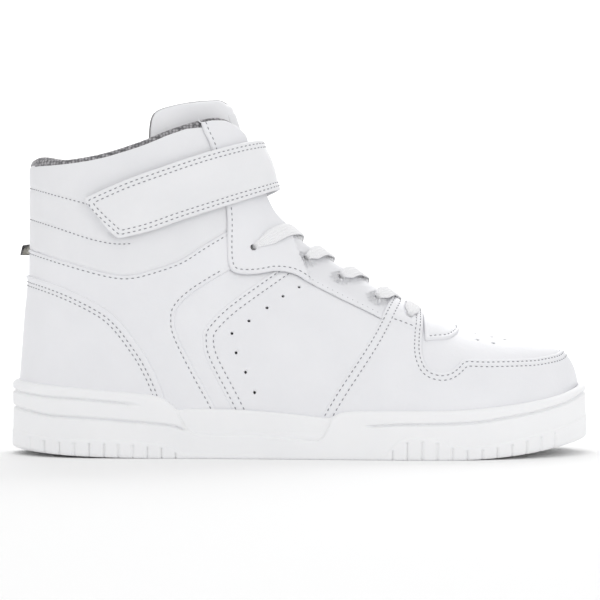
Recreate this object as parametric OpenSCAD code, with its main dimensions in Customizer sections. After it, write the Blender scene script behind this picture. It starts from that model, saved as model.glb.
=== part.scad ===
// A white leather basketball high top for the right foot: a rubber cup sole, a panelled upper,
// a padded collar and tongue, a flat lace and an ankle strap with a hook-and-loop tab.
// +X points to the toe, -Y is the outer (lateral) side, +Z is up, z = 0 is the ground.

/* [Size] */
// Length of the sole, heel to toe
sole_length = 286; // [276:1:296]
// Width of the sole at the ball of the foot
sole_width = 110; // [106:1:114]
// Height of the tongue top above the ground
shoe_height = 177; // [170:1:184]

/* [Upper] */
// Thickness of one layer of leather
leather = 1.2; // [1:0.1:1.3]
// Room between two layers that are sewn together
layer_gap = 0.2; // [0.1:0.05:0.3]
// Thickness of the collar padding
collar_pad = 5; // [4:0.5:6]
// Thickness of the tongue padding
tongue_pad = 4; // [3:0.5:5]

/* [Strap and lace] */
// Thickness of the ankle strap without its hooks
strap_thick = 2.4; // [2:0.1:2.8]
// Width of the flat lace
lace_width = 6; // [5:0.5:7]
// Thickness of the flat lace
lace_thick = 1.4; // [1.2:0.1:1.6]

/* [Sole] */
// Thickness of the rubber outsole
outsole_thick = 4; // [3.5:0.5:4.5]
// Distance between the bars of the tread
tread_pitch = 7; // [6:0.5:8]
// Depth of the tread
tread_depth = 1.6; // [1:0.1:2]
// Thickness of the moulded bands round the sole wall
band_thick = 1.1; // [0.9:0.1:1.2]

/* [Hidden] */

// The outlines below are drawn for a sole of 286 x 110 and a height of 177, then scaled.
kx = sole_length / 286;
ky = sole_width / 110;
kz = shoe_height / 177;

// ---- curves ----

// Value of the smooth curve through knots [[x, y], ...] at x
function curve(k, x) =
    let (n = len(k), xx = min(max(x, k[0][0]), k[n - 1][0]),
         i = max([0, for (q = [1:n - 2]) if (xx >= k[q][0]) q]),
         w = k[i + 1][0] - k[i][0], u = (xx - k[i][0]) / w,
         m0 = slope(k, i), m1 = slope(k, i + 1))
    (2*u*u*u - 3*u*u + 1) * k[i][1] + (u*u*u - 2*u*u + u) * w * m0
    + (3*u*u - 2*u*u*u) * k[i + 1][1] + (u*u*u - u*u) * w * m1;

// Slope of that curve at knot i
function slope(k, i) =
    let (a = k[max(i - 1, 0)], b = k[min(i + 1, len(k) - 1)]) (b[1] - a[1]) / (b[0] - a[0]);

// Point at t on the smooth curve through evenly counted points
function along(p, t) =
    let (n = len(p), i = min(max(floor(t), 0), n - 2), u = t - i,
         a = p[max(i - 1, 0)], b = p[i], c = p[i + 1], d = p[min(i + 2, n - 1)])
    0.5 * (2*b + (c - a)*u + (2*a - 5*b + 4*c - d)*u*u + (3*b - a - 3*c + d)*u*u*u);

// The same curve as a list with k points for each span
function smooth_line(p, k = 5) = [for (i = [0:(len(p) - 1) * k]) along(p, i / k)];

function ease(t) = let (u = min(max(t, 0), 1)) u * u * (3 - 2 * u);
function unit(v) = norm(v) < 1e-9 ? [0, 0, 0] : v / norm(v);

// ---- the foot shape ----

// Lateral and medial edge of the foot bed, at x, before the toe and heel are rounded
lateral_edge = [[-140, -35.5], [-100, -36.5], [-50, -39], [-10, -43], [30, -47.5],
    [65, -50], [95, -47], [139, -38]];
medial_edge = [[-140, 35.5], [-100, 36.5], [-50, 35.5], [-10, 37], [30, 43],
    [65, 48.3], [95, 51.4], [139, 55]];
// Half width of the ankle part, at x
ankle_half = [[-140, 37], [-90, 38], [-40, 36.5], [0, 34], [60, 33]];
// Back of the heel, at each height
heel_back = [[13, -138.6], [38, -136.8], [61, -135], [83, -133.6], [95, -133.8], [160, -133.8]];
toe_x = 139.3;
toe_round = 64;
heel_round = 44;

// Lines across the side of the upper: base x, base z, ridge x, ridge z, from toe to collar
STATIONS = [[138.6, 18, 138.9, 18.5], [131, 16.5, 139, 31], [120, 15, 136, 43.5],
    [107, 14.2, 129, 51.4], [92, 13.5, 115, 55.8], [76, 13, 98.5, 58.5], [58, 13, 80, 62],
    [36, 13, 57, 70.5], [8, 13, 34, 84], [-25, 13, 12, 97.5], [-65, 13, -3, 108.5],
    [-105, 13, -12, 118], [-138.5, 14, -17, 127.5], [-136.5, 42, -21, 138.5],
    [-133.8, 80, -25, 150], [-133.8, 115, -29.5, 163], [-133.8, 150, -35, 179]];
// How full the arch is from side to side, at each station
fullness = [[0, 2.1], [4, 2.4], [8, 2.1], [10.5, 2.3], [12.5, 3.1], [16, 3.6]];

// Middle and half width of the foot at a side-view point
function body_at(x, z) =
    let (l = curve(lateral_edge, x), m = curve(medial_edge, x), k = ease((z - 30) / 75),
         toe = pow(1 - min(max((toe_x - x) / toe_round, 0), 1), 2.3),
         heel = pow(1 - min(max((x - curve(heel_back, z)) / heel_round, 0), 1), 2.25))
    [(l + m) / 2 * (1 - k),
     ((m - l) / 2 * (1 - k) + curve(ankle_half, x) * k)
         * sqrt(max(1 - toe, 0)) * sqrt(max(1 - heel, 0))];

// Point on the upper at station s and height h (0 base or heel, 1 ridge); side -1 is lateral
function skin(s, h, side) =
    let (q = along(STATIONS, s), x = q[0] + (q[2] - q[0]) * h, z = q[1] + (q[3] - q[1]) * h,
         b = body_at(x, z), e = sqrt(max(1 - pow(h, curve(fullness, s)), 0)))
    [x, b[0] + side * b[1] * e, z];

// ---- sheets and shells ----

// Rows from the lateral edge over the ridge to the medial edge; low is the height of the edges
function over_ridge(s0, s1, ns, nv, low) =
    [for (i = [0:ns]) let (s = s0 + (s1 - s0) * i / ns, l = curve(low, s))
        [for (j = [-nv:nv]) skin(s, 1 - (1 - l) * pow(j / nv, 2), j < 0 ? -1 : 1)]];

// Station and height of a side-view point, by halving
function find(x, z, lo = 0, hi = len(STATIONS) - 1, n = 16) =
    let (s = (lo + hi) / 2, q = along(STATIONS, s),
         dx = q[2] - q[0], dz = q[3] - q[1], off = dx * (z - q[1]) - dz * (x - q[0]))
    n == 0 ? [s, min(max(((x - q[0]) * dx + (z - q[1]) * dz) / (dx * dx + dz * dz), 0), 1)]
        : off < 0 ? find(x, z, lo, s, n - 1) : find(x, z, s, hi, n - 1);

// Rows from the medial edge round the heel to the lateral edge, between two heights of the
// heel; front holds the side-view points where the rows end
function round_heel(z0, z1, front, ns, nv) =
    [for (i = [0:ns]) let (z = z0 + (z1 - z0) * i / ns, a = [curve(heel_back, z) - 0.01, z],
        b = along(front, i / ns * (len(front) - 1)))
        [for (j = [-nv:nv]) let (q = a + (b - a) * pow(j / nv, 2), f = find(q[0], q[1]))
            j == 0 ? [a[0], 0, z] : skin(f[0], f[1], j < 0 ? 1 : -1)]];

// Rows up one side only, closer together near the ridge
function one_side(s0, s1, ns, nv, h0, h1, side) =
    [for (i = [0:ns]) let (s = s0 + (s1 - s0) * i / ns)
        [for (j = [0:nv]) let (v = side < 0 ? j / nv : 1 - j / nv, f = h1 > 0.9 ? v * (2 - v) : v)
            skin(s, h0 + (h1 - h0) * f, side)]];

// Outward direction of a sheet at row i, column j
function outward(g, i, j) =
    let (n = len(g) - 1, m = len(g[0]) - 1)
    unit(cross(g[i][min(j + 1, m)] - g[i][max(j - 1, 0)], g[min(i + 1, n)][j] - g[max(i - 1, 0)][j]));

// The sheet moved outward by off(i, j)
function raised(g, off) =
    [for (i = [0:len(g) - 1]) [for (j = [0:len(g[0]) - 1]) g[i][j] + outward(g, i, j) * off(i, j)]];

// Closed solid between two sheets of the same size; o lies outside of n
module between(n, o) {
    rows = len(o);
    cols = len(o[0]);
    half = rows * cols;
    function id(k, i, j) = k * half + i * cols + j;
    function quad(a, b, c, d) = [[a, b, c], [a, c, d]];
    points = [for (g = [n, o]) for (row = g) for (p = row) [p[0] * kx, p[1] * ky, p[2] * kz]];
    faces = [
        for (i = [0:rows - 2]) for (j = [0:cols - 2])
            each quad(id(1, i, j), id(1, i + 1, j), id(1, i + 1, j + 1), id(1, i, j + 1)),
        for (i = [0:rows - 2]) for (j = [0:cols - 2])
            each quad(id(0, i, j), id(0, i, j + 1), id(0, i + 1, j + 1), id(0, i + 1, j)),
        for (i = [0:rows - 2])
            each quad(id(1, i + 1, 0), id(1, i, 0), id(0, i, 0), id(0, i + 1, 0)),
        for (i = [0:rows - 2]) let (m = cols - 1)
            each quad(id(1, i, m), id(1, i + 1, m), id(0, i + 1, m), id(0, i, m)),
        for (j = [0:cols - 2])
            each quad(id(1, 0, j), id(1, 0, j + 1), id(0, 0, j + 1), id(0, 0, j)),
        for (j = [0:cols - 2]) let (m = rows - 1)
            each quad(id(1, m, j + 1), id(1, m, j), id(0, m, j), id(0, m, j + 1))];
    polyhedron(points, faces, convexity = 8);
}

// Closed shell on a sheet, from offset a to offset b
module shell(g, a, b) {
    between(raised(g, function(i, j) a), raised(g, function(i, j) b));
}

// Everything behind or in front of a side-view outline
module side_cut(outline) {
    rotate([90, 0, 0])
        translate([0, 0, -100])
            linear_extrude(200)
                polygon([for (p = outline) [p[0] * kx, p[1] * kz]]);
}

// A leather panel: the part of a shell that lies inside a side-view outline
module panel(g, a, b, outline) {
    intersection() {
        shell(g, a, b);
        side_cut(outline);
    }
}

// ---- layers of the upper, as offsets from the skin ----
base_out = -0.2;
base_in = base_out - leather;
stiff_in = base_in - layer_gap - 0.8;
lining_out = stiff_in - layer_gap;
lining_in = lining_out - 1;
over_in = base_out + layer_gap;
over_out = over_in + leather;
top_in = over_out + layer_gap;
top_out = top_in + leather;

// ---- side-view outlines of the panels ----
collar_top = smooth_line([[-140, 142.5], [-116, 142.3], [-96, 145], [-77, 151], [-63, 157],
    [-49, 162], [-40, 164], [-33, 161.5], [-27, 155], [-20, 140]]);
ankle_line = smooth_line([[-142, 104], [-124, 98], [-106, 92.5], [-92, 88.8], [-82, 88],
    [-70, 91], [-58, 95.5], [-48, 102], [-36, 109.5]]);
counter_line = smooth_line([[-142, 91], [-116, 83], [-97, 74], [-87, 66], [-77, 53],
    [-72, 45], [-66, 32], [-61, 14]]);
hex_outer = smooth_line([[-36, 90], [-53, 79.5], [-61, 72], [-62.5, 66], [-61, 58],
    [-53, 42], [-43, 24], [-38, 8]]);
hex_inner = smooth_line([[-8, 90], [-31, 72.5], [-41, 63.5], [-42.5, 57], [-40, 48],
    [-29, 28], [-20, 8]]);
seam_front = smooth_line([[45, 71.5], [43, 67], [36, 54.3], [29, 44], [20.5, 33], [13, 21.5],
    [4, 6]]);
toe_edge = smooth_line([[127, 58], [127.5, 52.5], [118, 47], [107, 46], [90, 46], [78, 46.5],
    [74, 42], [67, 40], [61, 42.5], [58, 50], [59, 66]]);
eyestay_back = smooth_line([[-49, 170], [-46, 157], [-42, 149], [-36, 120], [-36, 103],
    [-35, 92], [-31, 88.2], [-22, 88.2], [-12, 89.5], [-3, 88], [5, 83.3], [17, 77],
    [32, 69.7], [39, 66.3], [51, 63.3], [59, 60]]);

// How far the outsole stands out of the foot bed
ground_out = 4.2;

// ---- the sole ----

// Height of the ground side of the sole at x: flat, then the toe spring
function ground(x) = 9 * pow(max(x - 70, 0) / 72, 2);

// Plan outline of the foot bed, moved outward by e
function bed(e) =
    let (back = curve(heel_back, 13), mid = (back + toe_x) / 2, half = (toe_x - back) / 2,
         xs = [for (a = [0:6:180]) mid - half * cos(a)],
         edge = [for (side = [-1, 1], i = [0:29])
             let (x = side < 0 ? xs[i] : xs[30 - i], b = body_at(x, 13)) [x, b[0] + side * b[1]]],
         n = len(edge))
    [for (i = [0:n - 1])
        let (d = unit(edge[(i + 1) % n] - edge[(i + n - 1) % n]))
        [(edge[i][0] + d[1] * e) * kx, (edge[i][1] - d[0] * e) * ky]];

// Upright wall or block on that outline
module bed_block(e) {
    linear_extrude(60 * kz)
        polygon(bed(e));
}

// Side-view outline between two heights above the ground side; rise is how much of the toe
// spring the upper edge follows
function layer(low, high, rise = 1, x0 = -150, x1 = 150) =
    let (xs = concat([x0], [for (x = [70:8:142]) if (x > x0 && x < x1) x], [x1]), n = len(xs))
    concat([for (x = xs) [x, ground(x) + low]],
        [for (i = [0:n - 1]) let (x = xs[n - 1 - i]) [x, rise * ground(x) + high]]);

cup_top = concat(smooth_line([[-146, 37.6], [-120, 35], [-96, 33], [-76, 31.2], [-67, 29],
    [-62, 26], [-58, 23.3]], 3), smooth_line([[-48, 24], [-24, 23.3], [0, 21.2], [15, 19.6],
    [20, 22.4], [32, 23.4], [71, 23.6], [90, 24.8], [111, 27.3], [124, 29.5], [135, 32.8],
    [146, 36.6]], 3));

// Band round the sole wall between two plan offsets, inside a side-view outline
module band(e0, e1, outline) {
    intersection() {
        difference() {
            bed_block(e1);
            translate([0, 0, -1])
                bed_block(e0);
        }
        side_cut(outline);
    }
}

// The sole wall's side view between x0 and x1, from height low up to the wall's top edge
function wall_view(x0, x1, low, drop = 0) =
    concat([for (p = cup_top) if (p[0] > x0 && p[0] < x1) [p[0], p[1] - drop]],
        [for (x = [x1, 142, 134, 126, 118, 110, 90, 70, x0]) if (x <= x1 && x >= x0)
            [x, ground(x) + low]]);

// Outside and inside of the cup wall, as offsets from the foot bed
wall_out = 3.8;
cavity_out = 2.8;
// Top of the cup's floor, and of the midsole that fills it
cup_floor = outsole_thick + 1.5;
bed_top = 12.6;

module outsole() {
    color("whitesmoke")
        difference() {
            intersection() {
                bed_block(ground_out);
                side_cut(layer(0, outsole_thick));
            }
            for (x = [-132:tread_pitch:136])
                translate([(x - 1.2) * kx, -70, -1])
                    cube([2.4 * kx, 140, (ground(x) + tread_depth) * kz + 1]);
        }
}

module cupsole() {
    color("whitesmoke")
        difference() {
            intersection() {
                bed_block(wall_out);
                side_cut(wall_view(-150, 150, outsole_thick));
            }
            intersection() {
                bed_block(cavity_out);
                side_cut(layer(cup_floor, 60));
            }
        }
}

module heel_band() {
    color("white")
        band(wall_out, wall_out + band_thick, wall_view(-150, -60, outsole_thick + 1, 0.2));
}

module forefoot_band() {
    color("white")
        band(wall_out, wall_out + band_thick, wall_view(16, 112, outsole_thick + 1, 0.2));
}

module toe_bumper() {
    color("white")
        band(wall_out, wall_out + 0.6 * band_thick, wall_view(112.4, 150, outsole_thick + 1, 0.2));
}

// Recessed panel in the waist of the sole; side -1 is lateral
module waist_panel(side) {
    color("gainsboro")
        intersection() {
            band(wall_out, wall_out + 0.5 * band_thick,
                [[-57, 22.5], [-24, 22.5], [0, 20.4], [12, 18.6], [12, 15], [6, 8], [-46, 9],
                    [-51, 12]]);
            translate([-100, side < 0 ? -100 : 0, 0])
                cube([200, 100, 60]);
        }
}

module waist_panel_lateral() { waist_panel(-1); }
module waist_panel_medial() { waist_panel(1); }

// How much of the toe spring the layers inside the sole follow
spring = 0.55;
shank_size = [96, 18, 1.4];
shank_x = -78;
board_thick = 1.8;
liner_thick = 4;
// Edge of the layers that lie inside the upper, as an offset from the foot bed
inside = lining_in - 0.4;

// Flat layer of the bed with the shape of the foot: e inside the bed outline, from low to high
module bed_layer(e, low, high, x0 = -150, x1 = 150) {
    intersection() {
        bed_block(e);
        side_cut(concat([for (x = [x0, 70, 94, 118, x1]) [x, spring * ground(x) + low]],
            [for (x = [x1, 118, 94, 70, x0]) [x, spring * ground(x) + high]]));
    }
}

module shank_space(room) {
    translate([shank_x * kx - room, -shank_size[1] / 2 - room, bed_top * kz - shank_size[2] - room])
        cube([shank_size[0] + 2 * room, shank_size[1] + 2 * room, 10]);
}

module midsole() {
    color("ivory")
        difference() {
            intersection() {
                bed_block(cavity_out - 0.3);
                side_cut(layer(cup_floor, bed_top, spring));
            }
            shank_space(0);
        }
}

module shank() {
    color("silver")
        translate([shank_x * kx, -shank_size[1] / 2, bed_top * kz - shank_size[2]])
            cube(shank_size);
}

module lasting_board() {
    color("beige")
        bed_layer(inside, bed_top + 0.1, bed_top + 0.1 + board_thick);
}

module sockliner() {
    color("gray")
        bed_layer(inside - 0.6, bed_top + 0.2 + board_thick,
            bed_top + 0.2 + board_thick + liner_thick);
}

// ---- the upper ----

// Sheets over the toe start at the foot bed on both sides
toe_low = [[0, 0], [1, 0]];
vamp_view = [[150, -5], [150, 80], [49.8, 80], [45.6, 66], [37.6, 52], [22, 30], [8, 8], [8, -5]];

// Panel over the toe from its tip to station s1
module toe_sheet_shell(s1, a, b, rows, outline) {
    panel(over_ridge(0.15, s1, rows, 8, toe_low), a, b, outline);
}

module toe_puff() {
    color("tan")
        toe_sheet_shell(5, stiff_in, base_in - layer_gap,
            10, [[108, -5], [150, -5], [150, 80], [112, 80]]);
}

module vamp() {
    color("white")
        toe_sheet_shell(8.4, base_in, base_out, 20, vamp_view);
}

module vamp_lining() {
    color("gray")
        toe_sheet_shell(8, lining_in, lining_out, 16,
            [for (p = vamp_view) [p[0] + (p[0] < 60 ? 5 : 0), p[1]]]);
}

module mudguard() {
    color("white")
        toe_sheet_shell(8.8, over_in, over_out, 22,
            concat(toe_edge, seam_front, [[4, -5], [150, -5], [150, 60]]));
}

module throat_patch() {
    color("white")
        panel(over_ridge(5.4, 7.4, 6, 8, [[0, 0.6], [10, 0.6]]), over_in, over_out + leather,
            concat([[61, 90], [61, 58]],
                smooth_line([[66, 57], [72, 57.2], [77, 60], [79.5, 64], [80, 72]], 3)));
}

// Where the quarters end at the back, under the rear quarter
quarter_rear = -66.8;
// Edge of the quarters along the throat, above the ankle line
throat_line = [[-28, 113.5], [-18, 124], [0, 140]];
quarter_view = concat([[49.4, 80], [45.2, 66], [37.2, 52], [21.6, 30], [7.6, 8], [7.6, -5],
    [quarter_rear, -5], [quarter_rear, 91]], [for (p = ankle_line) if (p[0] > quarter_rear) [p[0], p[1] - 0.4]],
    throat_line);

module quarter(side) {
    color("white")
        panel(one_side(7, 12.4, 16, 8, 0, 0.975, side), base_in, base_out, quarter_view);
}

module quarter_lining(side) {
    color("gray")
        panel(one_side(7.4, 11.8, 12, 8, 0, 0.975, side), lining_in, lining_out,
            [[40, 90], [12, 12], [-59.6, -5], [-59.6, 92.5], [-48, 99.5], [-36, 107], [-18, 122],
                [0, 138]]);
}

module side_panel(side) {
    color("white")
        panel(one_side(7.6, 11.2, 12, 8, 0, 0.9, side), over_in, over_out,
            concat(hex_outer, [[-38, -5], [-19, -5]],
                [for (i = [len(hex_inner) - 1:-1:0]) hex_inner[i]], [[-20, 94], [-36, 97]]));
}

module quarter_lateral() { quarter(-1); }
module quarter_medial() { quarter(1); }
module quarter_lining_lateral() { quarter_lining(-1); }
module quarter_lining_medial() { quarter_lining(1); }
module side_panel_lateral() { side_panel(-1); }
module side_panel_medial() { side_panel(1); }

// Where the sheets round the heel end at the front
low_front = [[-20, 13.2], [-24, 60], [-26, 104]];

module rear_quarter() {
    color("white")
        panel(round_heel(13.2, 106, low_front, 16, 12), over_in, over_out,
            concat([for (p = ankle_line) if (p[0] < -37) [p[0], p[1] - 0.2]],
                [[-36.4, 109], [-36.4, 90]],
                [for (p = hex_outer) [p[0] - 0.3, p[1]]], [[-38, 0], [-150, 0]]));
}

module heel_overlay() {
    color("white")
        panel(round_heel(13.2, 94, [[-55, 13.2], [-60, 60], [-80, 88]], 14, 10), top_in, top_out,
            concat(counter_line, [[-61, 0], [-150, 0]]));
}

module heel_counter() {
    color("tan")
        panel(round_heel(13.2, 62, [[-64, 13.2], [-70, 40], [-90, 60]], 8, 9), stiff_in, base_in - layer_gap,
            [[-150, 0], [-68, 0], [-72, 30], [-92, 56], [-150, 58]]);
}

module heel_lining() {
    color("gray")
        panel(round_heel(13.2, 104, low_front, 12, 10), lining_in, lining_out,
            concat([[-150, 0], [-60.2, 0], [-60.2, 93.5]],
                [for (i = [len(ankle_line) - 1:-1:0]) let (p = ankle_line[i]) if (p[0] < -61)
                    [p[0], p[1] - 1.2]],
                [[-150, 102]]));
}

// Columns of the collar sheet on each side of the heel
collar_cols = 13;
collar_front = [[-11, 82], [-15, 112], [-20.5, 130], [-25.5, 146], [-31, 162]];
function collar_sheet() = round_heel(84, 148, collar_front, 14, collar_cols);
// Front edge of the cover, and of the padding and lining, which stay clear of the tongue
cover_front = [[-28.6, 115], [-18.8, 125.6], [0, 150]];
soft_front = [[-37, 125], [-41, 140], [-46, 156]];
function collar_view(low, high, front) =
    concat([for (p = ankle_line) [p[0], p[1] + low]], front,
        [for (i = [len(collar_top) - 1:-1:0]) let (p = collar_top[i])
            if (p[0] < front[2][0] - 1) [p[0], p[1] + high]]);
// Padding thickness of the collar at column j: thinner toward the front edges
function pad(j) =
    collar_pad * (1 - 0.55 * ease((abs(j - collar_cols) / collar_cols - 0.72) / 0.28));

module collar_cover() {
    color("white")
        panel(collar_sheet(), over_in, over_out, collar_view(0.3, 0, cover_front));
}

module collar_foam() {
    color("khaki")
        intersection() {
            between(raised(collar_sheet(), function(i, j) base_out - pad(j)),
                raised(collar_sheet(), function(i, j) base_out));
            side_cut(collar_view(0.4, -1.5, soft_front));
        }
}

module collar_lining() {
    color("gray")
        intersection() {
            between(raised(collar_sheet(), function(i, j) base_out - pad(j) - layer_gap - 1),
                raised(collar_sheet(), function(i, j) base_out - pad(j) - layer_gap));
            side_cut(collar_view(0.2, 2, soft_front));
        }
}

// The eyelet stay's outline: its lower edge, then up along the throat to the collar
eyestay_view = concat([[-47.5, 162.2]], [for (p = eyestay_back) if (p[1] < 160) p],
    [[61, 66], [70, 90], [0, 140], [-18, 142], [-24, 150], [-28, 156.5], [-33, 161.2], [-40, 163.6]]);

module eyestay(side) {
    color("white")
        panel(one_side(7.15, 15.4, 22, 7, 0.5, 0.985, side), top_in, top_out, eyestay_view);
}

module eyestay_lateral() { eyestay(-1); }
module eyestay_medial() { eyestay(1); }

// ---- the tongue ----

// Columns of the tongue on each side of its middle, and the height of its side edges
tongue_cols = 8;
tongue_low = [[7.6, 0.93], [9, 0.86], [11, 0.78], [13, 0.7], [15, 0.6], [16, 0.58]];
tongue_view = concat([[80, 40], [80, 110], [0, 190], [-34, 190], [-34.5, 176.5]],
    smooth_line([[-41, 177], [-52, 174], [-64, 171], [-71, 168], [-73.5, 163]], 3),
    [[-74, 150], [-90, 60]]);
function tongue_sheet() = over_ridge(7.7, 16, 14, tongue_cols, tongue_low);
// How far below the skin the tongue's face lies: deep under the collar, shallow at the front
function sink(i, j) = -1 - (4.6 + 1.8 * ease((i - 4) / 6)) * ease(abs(j / tongue_cols - 1) / 0.55)
    - 3 * ease((2 - i) / 2);

module tongue_layer(a, b) {
    intersection() {
        between(raised(tongue_sheet(), function(i, j) sink(i, j) + a),
            raised(tongue_sheet(), function(i, j) sink(i, j) + b));
        side_cut(tongue_view);
    }
}

module tongue_cover() {
    color("white")
        tongue_layer(-leather, 0);
}

module tongue_foam() {
    color("khaki")
        tongue_layer(-leather - 0.1 - tongue_pad, -leather - 0.1);
}

module tongue_lining() {
    color("gray")
        tongue_layer(-leather - tongue_pad - 1.2, -leather - tongue_pad - 0.2);
}

module tongue_label() {
    color("gainsboro")
        panel(over_ridge(14.6, 15.6, 3, 4, [[0, 0.985], [16, 0.985]]), -0.9, 0,
            [[-50, 150], [0, 150], [0, 180], [-50, 180]]);
}

// ---- the lace ----

eyelets = [for (p = [[53, 66.5], [37.3, 75.5], [19.7, 85.8], [2.5, 95.2], [-23.5, 101]])
    find(p[0], p[1])];
// Height of the lace behind the eyelets and over them
under_run = -4.4;
over_run = top_out + 0.1 + lace_thick / 2;

// Route of the lace: each entry is station, height, side, offset, turn of the ribbon, width share
function bar(k, way) =
    let (s = eyelets[k][0], h = eyelets[k][1])
    concat([[s, h, -way, under_run, 90, 0.6], [s, h, -way, -1, 45, 0.5]],
        [for (v = [-1, -0.8, -0.5, -0.2, 0.2, 0.5, 0.8, 1])
            [s, 1 - (1 - h) * v * v, v < 0 ? -way : way, over_run - 1.6 * (1 - v * v), 0,
                abs(v) == 1 ? 0.7 : 1]],
        [[s, h, way, -1, 45, 0.5], [s, h, way, under_run, 90, 0.6]]);
lace_route = [for (k = [0:len(eyelets) - 1]) each bar(k, k % 2 == 0 ? 1 : -1)];

// Point and directions on the skin: position, along the ridge, across it, outward
function frame_at(s, h, side) =
    let (p = skin(s, h, side), a = unit(skin(s + 0.02, h, side) - skin(s - 0.02, h, side)),
         c = unit(skin(s, h + 0.004, side) - skin(s, h - 0.004, side)) * -side,
         n = unit(cross(c, a)))
    [p, a, c, n];

module lace() {
    n = len(lace_route);
    frames = [for (r = lace_route) let (f = frame_at(r[0], min(r[1], 0.995), r[2]))
        [f[0] + f[3] * r[3], cos(r[4]) * f[1] + sin(r[4]) * f[2], r[5] * lace_width]];
    rings = [for (i = [0:n - 1])
        let (t = unit(frames[min(i + 1, n - 1)][0] - frames[max(i - 1, 0)][0]),
             w0 = frames[i][1], w = unit(w0 - t * (w0 * t)), u = cross(t, w),
             a = w * frames[i][2] / 2, b = u * lace_thick / 2)
        [for (c = [[-1, -1], [1, -1], [1, 1], [-1, 1]])
            let (p = frames[i][0] + a * c[0] + b * c[1]) [p[0] * kx, p[1] * ky, p[2] * kz]]];
    color("white")
        polyhedron([for (r = rings) each r], concat([[0, 1, 2, 3]],
            [for (i = [0:n - 2]) for (c = [0:3]) let (d = (c + 1) % 4)
                each [[4*i + c, 4*(i + 1) + c, 4*(i + 1) + d], [4*i + c, 4*(i + 1) + d, 4*i + d]]],
            [[4*n - 1, 4*n - 2, 4*n - 3, 4*n - 4]]), convexity = 8);
}

// ---- the ankle strap ----

// Top and bottom edge of the strap from the front of the ankle to its end, in side view
strap_top = [for (p = [[-26.8, 153], [-33, 151.8], [-49, 146.8], [-68, 139.8], [-87, 132.4],
    [-102, 125]]) find(p[0], p[1])];
strap_low = [for (p = [[-17.6, 128.2], [-27, 125.4], [-42.5, 120], [-58.5, 114.4], [-73, 109],
    [-88, 105.2]]) find(p[0], p[1])];
// Where the strap folds on each side of the ankle, and half the gap at a fold
fold_lateral = 1.35;
fold_medial = 1.5;
fold_gap = 0.04;
// Lowest height of the strap's inner face over the skin, and thickness of the loop patch
strap_base = 3.4;
loop_thick = 0.9;

// The strap between two places u (0 front, positive lateral, 5 at the end)
function strap_sheet(u0, u1, nu, nv, inset = 0) =
    [for (j = [0:nv]) [for (i = [0:nu])
        let (u = u0 + (u1 - u0) * i / nu, t = abs(u), a = along(strap_low, t), b = along(strap_top, t),
             e = inset + (1 - 2 * inset) * j / nv, q = a + (b - a) * e)
        skin(q[0], t < 0.001 ? 1 : q[1], u < 0 ? 1 : -1)]];

// Height of the strap's inner face over the skin at u
function strap_lift(u) = strap_base + 2.8 * ease(1 - abs(u) / 1.6) - 1.9 * ease((-u - 1.8) / 0.5);

// Piece of the strap between two places, from height a to b over its inner face
module strap_piece(u0, u1, nu, a, b, inset = 0) {
    g = strap_sheet(u0, u1, nu, 5, inset);
    lift = function(i, j) strap_lift(u0 + (u1 - u0) * j / nu);
    between(raised(g, function(i, j) lift(i, j) + a), raised(g, function(i, j) lift(i, j) + b));
}

module strap_bridge() {
    color("white")
        strap_piece(fold_lateral - fold_gap, -fold_medial + fold_gap, 14, 0, strap_thick);
}

module strap_tab() {
    color("white")
        strap_piece(5, fold_lateral + fold_gap, 14, 0, strap_thick);
}

module hook_patch() {
    color("lightgray")
        strap_piece(4.7, 2.4, 8, -0.65, -0.05, 0.16);
}

module loop_patch() {
    color("lightgray")
        strap_piece(4.9, 2.2, 8, top_in - strap_base, top_in - strap_base + loop_thick, 0.1);
}

module strap_anchor() {
    color("white")
        strap_piece(-fold_medial - fold_gap, -4, 10, 0, strap_thick);
}

outsole();
cupsole();
heel_band();
forefoot_band();
toe_bumper();
waist_panel_lateral();
waist_panel_medial();
midsole();
shank();
lasting_board();
sockliner();
toe_puff();
heel_counter();
vamp();
vamp_lining();
mudguard();
throat_patch();
quarter_lateral();
quarter_medial();
side_panel_lateral();
side_panel_medial();
rear_quarter();
heel_overlay();
collar_cover();
collar_foam();
collar_lining();
heel_lining();
quarter_lining_lateral();
quarter_lining_medial();
eyestay_lateral();
eyestay_medial();
tongue_cover();
tongue_foam();
tongue_lining();
tongue_label();
lace();
strap_anchor();
loop_patch();
strap_bridge();
strap_tab();
hook_patch();
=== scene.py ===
"""Looks of a white leather basketball high top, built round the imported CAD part.

Lengths are in millimetres in the shape functions and in metres in Blender. The toe points to +X,
the outer (lateral) side faces -Y and the ground is z = 0. Panels are grids on the foot's skin that
are cut along side-view outlines, so that every edge, seam and hole is real geometry."""

import math

import bpy
import numpy as np
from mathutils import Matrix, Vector


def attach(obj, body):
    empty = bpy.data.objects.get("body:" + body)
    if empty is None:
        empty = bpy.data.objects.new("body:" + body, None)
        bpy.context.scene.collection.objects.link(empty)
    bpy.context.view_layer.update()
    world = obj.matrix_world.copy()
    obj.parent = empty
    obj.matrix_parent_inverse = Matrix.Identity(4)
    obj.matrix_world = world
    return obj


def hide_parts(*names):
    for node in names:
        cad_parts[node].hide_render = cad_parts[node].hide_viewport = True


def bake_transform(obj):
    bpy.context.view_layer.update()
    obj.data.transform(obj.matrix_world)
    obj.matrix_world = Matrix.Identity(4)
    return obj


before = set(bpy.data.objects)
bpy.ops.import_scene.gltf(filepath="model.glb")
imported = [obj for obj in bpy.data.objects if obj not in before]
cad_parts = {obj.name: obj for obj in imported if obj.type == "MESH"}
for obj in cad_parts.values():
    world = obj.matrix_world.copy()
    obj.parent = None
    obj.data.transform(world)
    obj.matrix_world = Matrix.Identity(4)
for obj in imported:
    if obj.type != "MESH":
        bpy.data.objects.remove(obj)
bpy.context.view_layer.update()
MM = 0.001

# ---- the foot shape, as in the CAD part ----

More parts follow.
